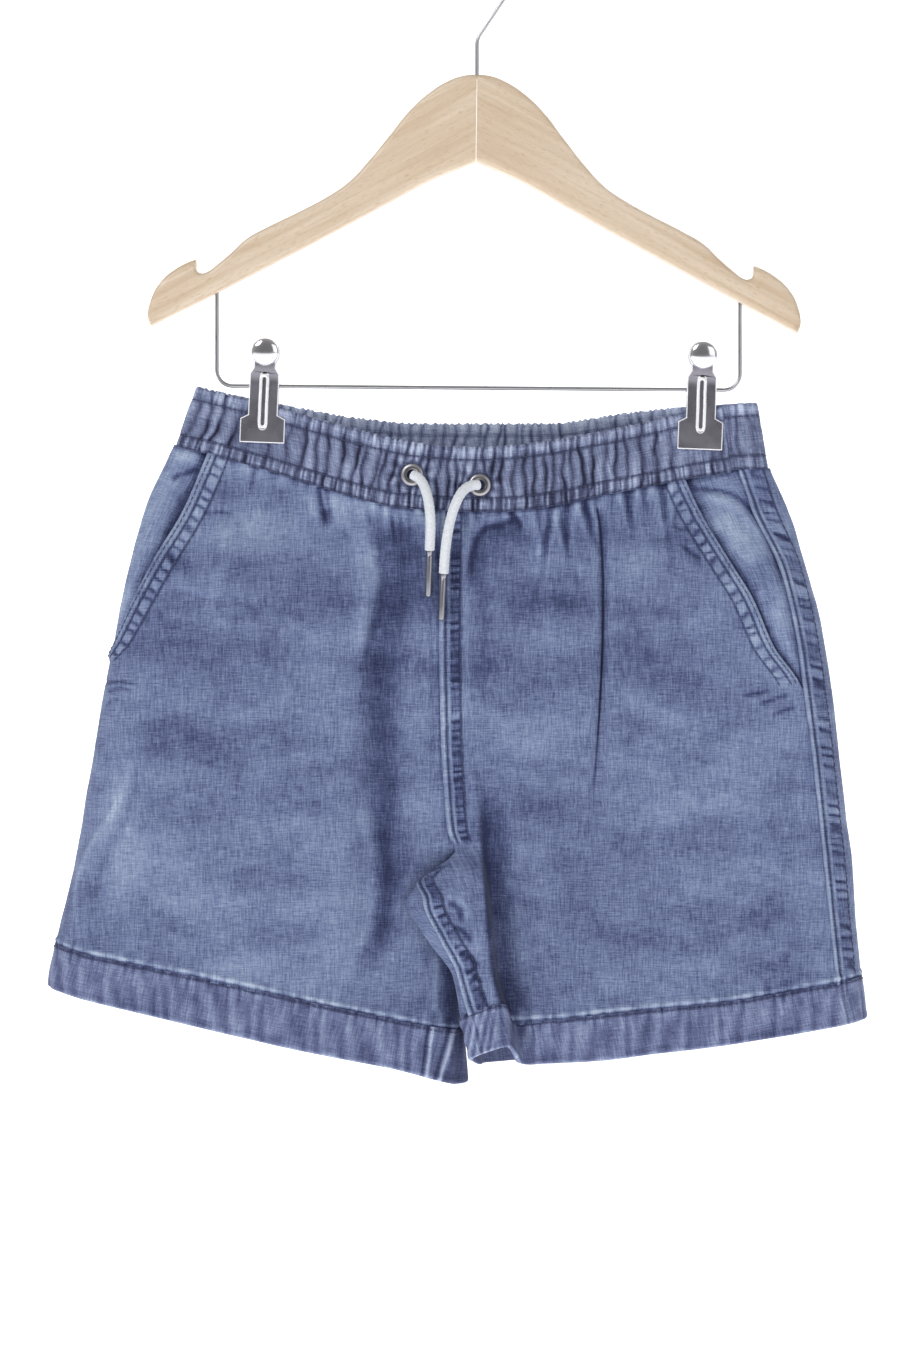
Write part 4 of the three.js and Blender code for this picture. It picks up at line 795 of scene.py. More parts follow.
def felled_seam(cloth, distance, amount, seed, width=8.4, lean=0.35, pitch=6.4, dark=0.42):
    """A felled seam: its folded edge, a stitch row, a second edge and a puckered band."""
    ridge(cloth, distance, 0.9, 0.85, 0.9 * amount, 0.85 * amount)
    ridge(cloth, distance, 4.1, 0.7, 0.25 * amount, 0.45 * amount)
    cloth.height += 0.45 * smooth((width + 2.2 - distance) / 1.2) * amount
    rope(cloth, cloth.down, distance - 4.6, width - 3.4, pitch, lean, seed, 0.36 * amount, 0.85 * amount)
    for line in (2.5, width + 1.4):
        cloth.tone -= 0.85 * amount * np.exp(-(((distance - line) / 0.6) ** 2))
    cloth.tone -= dark * amount * smooth((distance - 4.4) / 1) * smooth((width + 1.6 - distance) / 1)


# %% [markdown]
# A front panel runs from the rise seam to the slanted pocket mouth. The mouth is a rolled edge with two rows
# of stitches, and the cloth between them puffs up in a row of small pillows. Below the crotch the inner edge
# is the inseam, which on the right leg lies on a fold that comes forward like a nose.

# %% Front panels
PLEAT = table("z x", (-462, 55.5), (-428, 58), (-387, 61), (-348, 62.5), (-305, 61.5), (-291, 59.5))


def pleat_arc(v):
    x = 60.0
    for _ in range(3):
        x = float(read(PLEAT, height_at("right", x, "front", v), "x"))
    return arc_at_x(ring_at("right", v), x)


GRAIN_LINE = {"left": -100, "right": 80}


MOUTH_CLOSED_BY = 0.25


def front_panel(side):
    def columns(v):
        mouth, seam = pocket_mouth(side, v), side_seam(side, v)
        end = mouth - 0.1 + (MOUTH_CLOSED_BY if seam - mouth < 0.5 else 0)
        pleat = pleat_arc(v) if side == "right" else None
        return spaced(rise_front(side, v), end, 110, pleat)

    cloth = leg_cloth(side, ROWS, columns)
    rise, mouth, seam = (seam_row(side, f) for f in (rise_front, pocket_mouth, side_seam))
    from_rise, from_mouth = cloth.arc - rise, mouth - cloth.arc
    upright = np.array([arc_at_x(ring_at(side, u), GRAIN_LINE[side]) for u in ROWS])[:, None]
    cloth.grain = np.stack([cloth.arc - upright, cloth.z], -1)
    opened = smooth((seam - mouth) / 4)
    v = cloth.v[:, None] * np.ones_like(cloth.arc)
    above = smooth((CROTCH - 0.004 - v) / 0.012)
    seed = 11 if side == "left" else 57
    joined = smooth((CROTCH + 0.008 - v[:, 0]) / 0.008)
    cloth.base[:, 0, 0] -= SIGN[side] * (0.2 if side == "left" else 0.6) * joined
    general_wear(cloth, seed)
    if side == "right":
        felled_seam(cloth, from_rise, above, 3, lean=0.1, pitch=4.2, dark=0.75)
        below = 1.15 * smooth((v - CROTCH - 0.025) / 0.03)
        felled_seam(cloth, from_rise, below, 5, pitch=5.2, dark=0.6)
    else:
        cloth.tone -= 0.5 * np.exp(-(((from_rise - 0.6) / 1.2) ** 2)) * above
        # Below the crotch, past the left leg's inner edge, the cloth turns back into shade: that shade is
        # painted as a darker tone, and a paler line is painted along the edge.
        hidden = smooth((v - CROTCH - 0.03) / 0.05)
        behind = cloth.x - read(INNER_LEFT, cloth.z, "edgeX")
        cloth.tone -= 0.9 * smooth((behind - 0.5) / 2) * hidden
        cloth.tone += 0.5 * np.exp(-(((behind + 0.3) / 0.9) ** 2)) * hidden
    # The pocket mouth: a rolled pale edge, then pillows between the two rows of stitches.
    layers = 0.8 * smooth((4.4 - from_mouth) / 1.2) + 0.3 * smooth((11 - from_mouth) / 1)
    cloth.height += layers * opened
    roll_edge(cloth, from_mouth + 0.1, 1.1, opened)
    cloth.tone += 0.55 * smooth((4.2 - from_mouth) / 1.0) * opened
    q = (from_mouth - 4.7) / 5.4
    inside = smooth(q / 0.18) * smooth((1 - q) / 0.18) * opened
    along_mouth = cloth.down / 0.9 - 0.44 * from_mouth
    pillows = puffs(along_mouth / 6.2 + 0.35 * wobble(cloth.down, 22, seed + 3))
    worn = 0.85 + 0.35 * wobble(cloth.down, 40, seed + 4)
    cloth.height += 0.34 * pillows * inside
    cloth.tone += (0.85 * (pillows - 0.25) * worn + 0.1) * inside
    for line, dark in ((1.9, 0.3), (4.5, 0.8), (10.4, 0.8)):
        cloth.tone -= dark * np.exp(-(((from_mouth - line) / 0.6) ** 2)) * opened
    over_hem(cloth, side, seed + 5)
    return cloth


fronts = {side: front_panel(side) for side in ("left", "right")}
pitch_front = lambda x: 4.6 if -70 < x < 45 else 8.5
pitch_back = lambda x: 5.0
waist_gathers(fronts["left"], "left", "front", uneven_spots(-122, -19, pitch_front, 21), 22)
waist_gathers(fronts["right"], "right", "front", uneven_spots(-6, 96, pitch_front, 23), 24)
print("front grid", fronts["left"].arc.shape)

# %% [markdown]
# The creases that the eye knows the shorts by are placed one by one: the sharp pleat on the right, the soft
# dark valley left of the fly, the curved fold low on the left, the pulls round the bar tacks at the pockets
# and the worn patches where a lap and thighs rub.

# %% Creases on the front: width, depth and tone of each, the points that it runs through, and its taper
# The tones below darken creases with painted shade and pale their ridges partly with painted light.
LEFT_TRACES = [
    ((1.3, 1.2, -1.5), [(-79, -281), (-77.5, -290), (-75.5, -302)], (0.05, 0.4)),
    ((2.6, 0.7, -1.1), [(-76, -292), (-75, -298), (-75.5, -303)], (0.2, 0.5)),
    ((2.2, -0.8, 0.45), [(-83, -284), (-82, -291), (-80, -300)]),
    ((2.6, -0.8, 0.4), [(-71, -285), (-69, -294), (-68, -304)]),
    # The soft valley left of the fly: its dark is painted shade, deepest just under the band.
    (
        (9, 1.6, -0.95),
        [(-46, -292), (-39, -312), (-39, -333), (-44.5, -355), (-48, -378), (-45, -438), (-47, -499),
         (-56, -528)], (0.06, 0.12),
    ),
    (
        (2.4, 0.6, -0.42),
        [(-54, -291), (-47.3, -314), (-46.2, -331), (-51, -352), (-57, -376), (-56, -396)], (0.08, 0.35),
    ),
    ((3.4, -0.7, 0.34), [(-59, -296), (-53.5, -315), (-52.5, -331), (-57, -352), (-63, -376)], (0.15, 0.3)),
    ((6, 0.8, -0.38), [(-38, -297), (-31, -315), (-30, -345), (-33, -395)], (0.1, 0.4)),
    ((3.0, 0.6, -0.36), [(-50, -432), (-45, -476), (-48.5, -502.5), (-61, -531)], (0.2, 0.2)),
    ((3.0, -0.6, 0.38), [(-58, -432), (-52, -476), (-55, -502.5), (-68, -529)], (0.2, 0.2)),
    ((1.4, -0.4, 0.6), [(-20.5, -512), (-20.5, -525), (-22, -544)], (0.2, 0.1)),
    ((1.2, 0.4, -0.9), [(-17.5, -505), (-17.5, -524), (-19, -544)], (0.2, 0.1)),
    ((3.2, -0.8, 0.28), [(-68, -297), (-60, -306), (-57.5, -330), (-59, -372)]),
    (
        (1.2, -0.6, 0.55),
        [(-171, -408), (-177, -436), (-191, -460), (-198.5, -482), (-197.5, -501),
         (-189, -511)], (0.45, 0.3),
    ),
    ((3.6, -0.8, 0.2), [(-171, -408), (-176, -438), (-189, -462), (-196, -483), (-195, -501)]),
    ((2.8, 0.6, -0.42), [(-166, -415), (-172, -440), (-184, -466), (-190, -486), (-189, -502)]),
    ((1.8, 0.3, -0.22), [(-158, -332), (-138, -337), (-104, -343)]),
    ((2.2, -0.25, 0.2), [(-160, -343), (-135, -349), (-100, -353)]),
    ((1.8, 0.3, -0.2), [(-164, -357), (-140, -360), (-112, -367)]),
    ((3.5, -0.6, 0.2), [(-33, -300), (-31, -340), (-33, -400)]),
    ((1.6, 0.4, -0.3), [(-23, -335), (-22, -380), (-21.5, -440)]),
    ((3.0, -0.5, 0.3), [(-124, -300), (-127, -322), (-135, -350)]),
    ((0.9, 0.5, -0.7), [(-137, -294.8), (-129, -294.6), (-120, -295)]),
    ((0.9, 0.5, -1.0), [(-185, -379.5), (-176, -379), (-167, -380.5)], (0.05, 0.3)),
    ((0.9, 0.4, -0.8), [(-183, -384), (-177, -382), (-170, -384)], (0.05, 0.3)),
    ((0.9, 0.4, -0.6), [(-185, -391), (-180, -388), (-176, -389)]),
]
RIGHT_TRACES = [
    (
        (0.62, 1.1, -1.7),
        [(59.5, -291), (61.5, -305), (62.5, -348), (61, -387), (58, -428), (55.5, -462)], (0.02, 0.55),
    ),
    ((1.6, 0.2, -0.35), [(61, -291), (63.2, -305), (64.2, -348), (62.5, -387), (59.5, -428)], (0.03, 0.6)),
    ((1.5, -0.5, 0.35), [(57, -292), (58.5, -306), (59, -348), (57.5, -390)], (0.05, 0.5)),
    ((2.2, -0.4, 0.25), [(66, -300), (67, -348), (65, -390)]),
    ((1.7, 0.9, -1.3), [(22, -297), (12, -301), (2.5, -304), (-2.5, -316), (-5, -335)], (0.05, 0.35)),
    ((4.2, 0.9, -0.6), [(24, -301), (14, -305), (5, -309), (0.5, -320), (-1.5, -338)], (0.05, 0.35)),
    ((2.6, -0.8, 0.5), [(-7, -300), (-5.5, -310), (-7, -322)]),
    ((1.5, 0.9, -0.9), [(16, -294), (20, -299), (21, -305)], (0.05, 0.4)),
    ((1.3, 0.8, -0.8), [(54, -291), (56.5, -297), (58, -303)], (0.05, 0.4)),
    ((1.3, 0.7, -0.8), [(112, -318), (107, -315), (101, -310)]),
    ((1.2, 0.6, -0.6), [(103, -288), (99, -296), (97, -304)]),
    ((1.1, 0.5, -0.6), [(110, -302), (103, -303), (96, -301)]),
    ((2.0, -0.7, 0.4), [(-5, -312), (-5.5, -340), (-5, -394)]),
    ((3.0, 0.4, -0.3), [(3, -318), (3.5, -360), (3, -410)]),
    ((3.5, -0.5, 0.18), [(30, -300), (34, -330), (36, -372)]),
    ((0.9, 0.5, -0.9), [(131, -386), (139, -384.5), (147, -383)]),
    ((0.9, 0.5, -1.0), [(139, -390.5), (148, -387), (157, -384.5)]),
    ((0.9, 0.4, -0.8), [(146, -396), (152, -393), (160, -391)]),
    ((1.6, -0.3, 0.3), [(0.5, -455), (1.5, -474), (3.7, -498), (6.2, -521), (8.5, -540)], (0.2, 0.05)),
    # These two paint the shade on the wall right of the nose fold, darkest at the fold's edge.
    (
        (2.2, 0.3, -1.15),
        [(3, -425), (3.5, -448), (5, -483), (6.5, -508), (9, -526), (13, -538), (17, -547)], (0.25, 0.05),
    ),
    (
        (6, 0.5, -0.85),
        [(6, -425), (8, -448), (10.5, -483), (12, -508), (14, -526), (19, -538), (24, -547)], (0.25, 0.1),
    ),
    ((1.3, 0.6, -1.0), [(-14, -487), (-9, -492), (-8, -499)]),
    ((1.2, -0.5, 0.5), [(-11, -484), (-5, -491), (-5, -498)]),
    ((1.4, 0.6, -1.1), [(-12, -499), (-6, -503), (-2, -510)]),
    ((1.2, -0.5, 0.5), [(-13, -506), (-8, -508), (-5, -515)]),
    ((1.5, 0.6, -1.1), [(-9, -512), (-4, -514), (1, -521)]),
    ((1.4, 0.5, -1.0), [(-7, -521), (-2, -523), (3, -529)]),
    ((1.3, 0.5, -0.8), [(-3, -529), (1, -531), (4, -537)]),
]
for row in LEFT_TRACES:
    trace(fronts["left"], *row)
for row in RIGHT_TRACES:
    trace(fronts["right"], *row)
for x, z, wide, high, tone in (
    (-70, -478, 20, 32, 0.42),
    (-140, -470, 34, 36, 0.22),
    (-100, -400, 60, 40, -0.15),
    (-176, -450, 12, 50, 0.25),
    (-174, -448, 10, 46, 0.35),
    (-104, -300, 26, 13, 0.5),
    (-150, -335, 14, 40, -0.1),
    (-84, -330, 20, 20, -0.15),
    (-120, -362, 40, 12, -0.22),
):
    patch(fronts["left"], x, z, wide, high, tone)
for x, z, wide, high, tone in (
    (33, -360, 24, 10, 0.35),
    (36, -398, 18, 16, 0.3),
    (103, -440, 40, 14, 0.4),
    (30, -330, 20, 12, -0.2),
    (85, -372, 24, 10, -0.25),
    (30, -430, 26, 14, -0.2),
    (80, -500, 44, 18, -0.15),
    (150, -500, 12, 46, -0.2),
    (76, -320, 12, 16, 0.15),
    (60, -340, 70, 55, -0.24),
    (90, -430, 70, 40, -0.14),
    (82, -345, 12, 50, 0.15),
    (108, -430, 40, 22, 0.22),
):
    patch(fronts["right"], x, z, wide, high, tone)
print("traced creases", len(LEFT_TRACES) + len(RIGHT_TRACES))


# %% [markdown]
# The back isn't in the photograph. It is finished as such shorts are: two plain panels with a felled rise
# seam between them, side seams with the same puckered band as on the front, softer gathers and long folds.

# %% Back panels
def back_panel(side):
    cloth = leg_cloth(side, ROWS, lambda v: spaced(side_seam(side, v), rise_back(side, v), 116))
    seam, rise = seam_row(side, side_seam), seam_row(side, rise_back)
    from_seam, from_rise = cloth.arc - seam, rise - cloth.arc
    cloth.grain = np.stack([from_seam, cloth.z], -1)
    v = cloth.v[:, None] * np.ones_like(cloth.arc)
    above = smooth((CROTCH - v) / 0.01)
    seed = 111 if side == "left" else 157
    cloth.base[:, -1, 0] -= SIGN[side] * 0.2 * above[:, -1]
    general_wear(cloth, seed)
    felled_seam(cloth, from_seam, np.ones_like(cloth.arc), seed + 7, 10.6, -0.35)
    if side == "right":
        felled_seam(cloth, from_rise, above, seed + 9)
    over_hem(cloth, side, seed + 5)
    return cloth


backs = {side: back_panel(side) for side in ("left", "right")}
waist_gathers(backs["left"], "left", "back", uneven_spots(-128, -19, pitch_back, 31), 32)
waist_gathers(backs["right"], "right", "back", uneven_spots(-6, 128, pitch_back, 33), 34)
BACK_TRACES = {
    "left": [
        ((5.5, 0.6, -0.45), [(-50, -286), (-55, -350), (-60, -430), (-66, -510)]),
        ((1.8, 0.9, -0.7), [(-100, -280), (-103, -305), (-112, -352)], (0.05, 0.5)),
        ((4, -0.7, 0.25), [(-38, -290), (-42, -340), (-44, -420)]),
        ((4, 0.5, -0.25), [(-186, -440), (-160, -450), (-120, -452)]),
        ((2.6, 0.8, -0.5), [(-14, -452), (-34, -462), (-60, -466)]),
    ],
    "right": [
        ((5.5, 0.6, -0.45), [(60, -284), (66, -350), (70, -430), (74, -510)]),
        ((1.8, 0.9, -0.7), [(98, -280), (101, -305), (108, -352)], (0.05, 0.5)),
        ((4, -0.7, 0.25), [(30, -290), (36, -340), (38, -420)]),
        ((4, 0.5, -0.25), [(172, -440), (150, -452), (110, -455)]),
        ((2.6, 0.8, -0.5), [(2, -452), (24, -463), (50, -466)]),
    ],
}
for side, rows in BACK_TRACES.items():
    for row in rows:
        trace(backs[side], *row)
    patch(backs[side], SIGN[side] * 85, -345, 45, 30, 0.35)
    patch(backs[side], SIGN[side] * 120, -500, 50, 26, 0.2)
print("back grid", backs["left"].arc.shape)


# %% [markdown]
# Inside each slanted mouth shows the facing. It comes up from under the rolled edge, in shade, bulges where
# the pocket bag is full and tucks in again at the side seam. That shade, the shade at the tuck and the shade
# under the waistband are painted into its tone, and so is the light on the bulge.

# %% Pocket facings
def pocket_facing(side, bulge):
    rows = ROWS[ROWS <= POCKET_END + 0.004]

    def columns(v):
        mouth, seam = pocket_mouth(side, v), side_seam(side, v)
        lap = lerp(0.5, 3.0, float(smooth((seam - mouth) / 4)))
        under = np.linspace(mouth - lap, mouth, 6)
        return np.concatenate([under[:-1], np.linspace(mouth, seam + 0.2, 44)])

    cloth = leg_cloth(side, rows, columns)
    mouth = np.array([pocket_mouth(side, v) for v in rows])[:, None]
    seam = np.array([side_seam(side, v) for v in rows])[:, None]
    rising = np.clip((cloth.arc - mouth) / np.maximum(seam - mouth, 0.3), 0, 1)
    middle = np.sin(np.pi * np.clip(rows / POCKET_END, 0, 1))[:, None]
    cloth.lift += -2.0 * (1 - smooth(rising)) + bulge * np.sin(np.pi * rising) ** 0.8 * middle
    general_wear(cloth, 201)
    # Painted shade under the rolled edge and at the tuck, a painted highlight on the bulge, and painted shade
    # along the top under the waistband.
    shade = np.exp(-(((cloth.arc - mouth) / 3.2) ** 2))
    tuck_shade = np.exp(-(((seam - cloth.arc) / 2.2) ** 2))
    cloth.tone += 0.2 + 0.3 * np.sin(np.pi * rising) ** 2 - 0.95 * shade - 0.5 * tuck_shade
    cloth.tone -= 0.6 * np.exp(-((np.clip(cloth.v, 0, None)[:, None] / 0.006) ** 2))
    return cloth


facings = {"left": pocket_facing("left", 1.8), "right": pocket_facing("right", 3.6)}
FACING_TRACES = {
    "right": [
        ((1.3, 1.0, -1.0), [(106, -282), (127, -285), (143, -302), (149, -320), (152, -338)], (0.1, 0.3)),
        ((2.4, -0.8, 0.5), [(110, -286), (125, -289), (139, -304), (145, -322)]),
        ((6, -0.5, 0.35), [(116, -296), (128, -306), (136, -325)]),
        ((2.4, 0.5, -0.4), [(138, -318), (143, -330), (147, -346)]),
    ],
    "left": [
        ((1.5, 0.9, -1.2), [(-153, -278), (-146, -275), (-137, -272)]),
        ((2.6, -0.8, 0.6), [(-150, -268), (-144, -266), (-137, -266)]),
        ((2.2, 0.9, -0.5), [(-146, -284), (-150, -296), (-157, -312)]),
    ],
}
for side, rows in FACING_TRACES.items():
    for row in rows:
        trace(facings[side], *row)
print("facing grid", facings["right"].arc.shape)


# %% [markdown]
# A hem is the panel's own cloth turned up and held by one row of stitches. The thread pulls it into slanting
# puckers, which rub pale on their crests, and each seam goes on through it as a thick ridge.

# %% Hems
HEM_COLUMNS = 600


def hem_cloth(side):
    top, middle = np.linspace(0.9985, 1.01, 6), np.linspace(1.01, 1.09, 17)
    rows = np.concatenate([top[:-1], middle[:-1], np.linspace(1.09, HEM_END, 6)])

    def columns(v):
        return rise_front(side, v) + np.linspace(0, ring_at(side, v)["total"], HEM_COLUMNS + 1)

    cloth = leg_cloth(side, rows, columns, HEM)
    seed = 301 if side == "left" else 331
    around = cloth.arc
    w = ((cloth.v - 1) / (HEM_END - 1))[:, None] * np.ones_like(around)
    cloth.tone += 0.2 * field(around, cloth.z, 18, 40, seed) + 0.15 * field(around, cloth.z, 8, 8, seed + 1)
    puckers = puffs(around / 6.6 + 0.55 * w + 0.5 * wobble(around, 25, seed + 5))
    force = 0.6 + 0.5 * wobble(around, 31, seed + 7)
    near_stitch = np.exp(-(((w - 0.06) / 0.26) ** 2))
    slow = np.cos(2 * np.pi * (around / 12 + 0.7 * w + 0.6 * wobble(around, 40, seed + 6)))
    cloth.height += 0.34 * puckers * near_stitch * force + 0.35 * slow * smooth(w / 0.4)
    cloth.tone += 0.62 * (puckers - 0.1) * near_stitch * force + 0.36 * slow * smooth(w / 0.4)
    cloth.tone -= 0.9 * np.exp(-(((w - 0.03) / 0.045) ** 2)) + 0.1
    seams = [side_seam(side, 1.0)] + ([rise_front(side, 1.0)] if side == "right" else [])
    for place in seams:
        for offset, high in ((0.9, 0.8), (4.1, 0.5)):
            for turn in (0, ring_at(side, 1.0)["total"]):
                ridge(cloth, around - place - turn, offset, 0.9, 0.5 * high, 0.8 * high)
        cloth.tone -= 0.5 * np.exp(-(((around - place - 2.5) / 0.7) ** 2))
    if side == "left":
        behind = cloth.x - read(INNER_LEFT, cloth.z, "edgeX")
        front = (cloth.base[..., 1] < 9) & (cloth.x > -40)
        lean = 5.0 * (1 - w)
        # Past the left leg's inner edge the hem turns back into shade, which is painted as a dark tone.
        dark = smooth((behind - 2.5 - lean) / 1.5) * front
        cloth.tone = lerp(cloth.tone, -1.2, 0.85 * dark)
        calm = np.exp(-(((behind + 1) / 5.5) ** 4)) * front
        cloth.tone = lerp(cloth.tone, -0.15, 0.8 * calm * (1 - dark))
        for offset, high in ((1.4 + lean, 1.2), (-5.0 + 0.3 * lean, 1.1)):
            line = np.exp(-(((behind - offset) / 0.85) ** 2)) * front
            gap = np.exp(-(((behind - offset + 2.2) / 0.9) ** 2)) * front
            cloth.height += 0.5 * high * line
            cloth.tone += 1.5 * high * line - 1.0 * high * gap
    else:
        # The folded end of the hem is stiff with layers, so it breaks into upright ribs.
        rib = np.cos(2 * np.pi * (cloth.x + 3 + 4 * w) / 3.6) * smooth((11 - cloth.x) / 3)
        rib = rib * (cloth.x > -14) * (cloth.base[..., 1] < -8)
        cloth.height += 0.3 * rib
        cloth.tone += 0.55 * rib
    roll_edge(cloth, (1 - w) * 22, 1.3)
    cloth.tone += 0.6 * np.exp(-(((1 - w) / 0.04) ** 2))
    cloth.tone -= 0.25 * np.exp(-(((1 - w - 0.13) / 0.06) ** 2))
    # The inside of the hem is painted darker still: painted shade.
    cloth.inside_tone_and_shade[:] = -0.55
    return cloth


hems = {side: hem_cloth(side) for side in ("left", "right")}
print("hem grid", hems["left"].arc.shape)

# %% [markdown]
# The waistband is wide elastic inside a folded band, held by three rows of stitches. The elastic pulls the
# cloth into narrow rounded gathers with dark grooves, uneven in pitch and lean. They lie flat where the
# clips bite and round the eyelets.

# %% Waistband
BAND_LINES = table(
    "t frontZ backZ",
    (0, -231.5, -231.5), (0.14, -241.5, -239.5), (0.27, -252, -246), (0.4, -260.5, -249),
    (0.5, -262.5, -249), (0.63, -259, -249), (0.76, -252, -244.5), (0.89, -243.5, -241),
    (1, -239.5, -239.5),
)
BAND_TOP, BAND_BOTTOM = (-140, 140), (-150.5, 145.5)
BAND_SIDE_LEFT, BAND_SIDE_RIGHT, BAND_STEPS = 4, -19, 28
GATHERS = {
    "front": table(
        "x pitch",
        (-152, 6), (-118, 7.5), (-75, 6), (-50, 4.6), (45, 4.5), (62, 6.5), (100, 6), (112, 4.8),
        (147, 5),
    ),
    "back": table("x pitch", (-152, 5.6), (0, 5), (147, 5.6)),
}
CLIPS = (-106.3, 112.2)
EYELETS = {"left": (-32.3, -276.2), "right": (1.2, -281.3)}
BAND_ROWS_AT = (0.2, 0.79, 0.985)
band_rings = {}


def band_ring(w):
    if w not in band_rings:
        left = lerp(BAND_TOP[0], BAND_BOTTOM[0], w) + BAND / 2
        right = lerp(BAND_TOP[1], BAND_BOTTOM[1], w) - BAND / 2
        x = lerp(left, right, (1 - np.cos(np.pi * np.arange(BAND_STEPS + 1) / BAND_STEPS)) / 2)
        half = waist_half(x, np.minimum(x - left, right - x))
        front = [(a, -b, 0) for a, b in zip(x, half)]
        back = [(a, b, 0) for a, b in zip(x[1:-1][::-1], half[1:-1][::-1])]
        band_rings[w] = measure(front + back, BAND_STEPS, True)
    return band_rings[w]


def band_row(w, arc, face):
    here = on_curve(band_ring(w), arc)
    x = here[:, 0]
    left, right = lerp(BAND_TOP[0], BAND_BOTTOM[0], w), lerp(BAND_TOP[1], BAND_BOTTOM[1], w)
    top = read(BAND_LINES, np.clip((x - left) / (right - left), 0, 1), face + "Z")
    line = "waist" if face == "front" else "waist_back"
    bottom = np.where(x < RISE_FOOT, read(LINES["left"], x, line), read(LINES["right"], x, line))
    return np.stack([x, here[:, 1], lerp(top, bottom, w)], -1)


def groove_places(face, start, end, random):
    places, at = [start - 1.0], start + 2
    while at < end - 1:
        x = float(on_curve(band_ring(0.5), np.array([at]))[0, 0])
        places.append(at)
        at += float(read(GATHERS[face], x, "pitch")) * random.uniform(0.68, 1.35)
    return np.array(places + [end + 1.0])


def flat_places(x, z, w, face):
    """Gathers lie flat under the clips and round the eyelets."""
    fade = np.ones_like(x)
    for clip_x in CLIPS:
        aside = smooth((np.abs(x - clip_x) - 12.5) / 5)
        fade *= np.maximum(aside, 0.25 + 0.6 * smooth((w - 0.7) / 0.2))
    if face == "front":
        for ex, ez in EYELETS.values():
            fade *= smooth((np.hypot(x - ex, z - ez) - 5.4) / 3)
    return fade


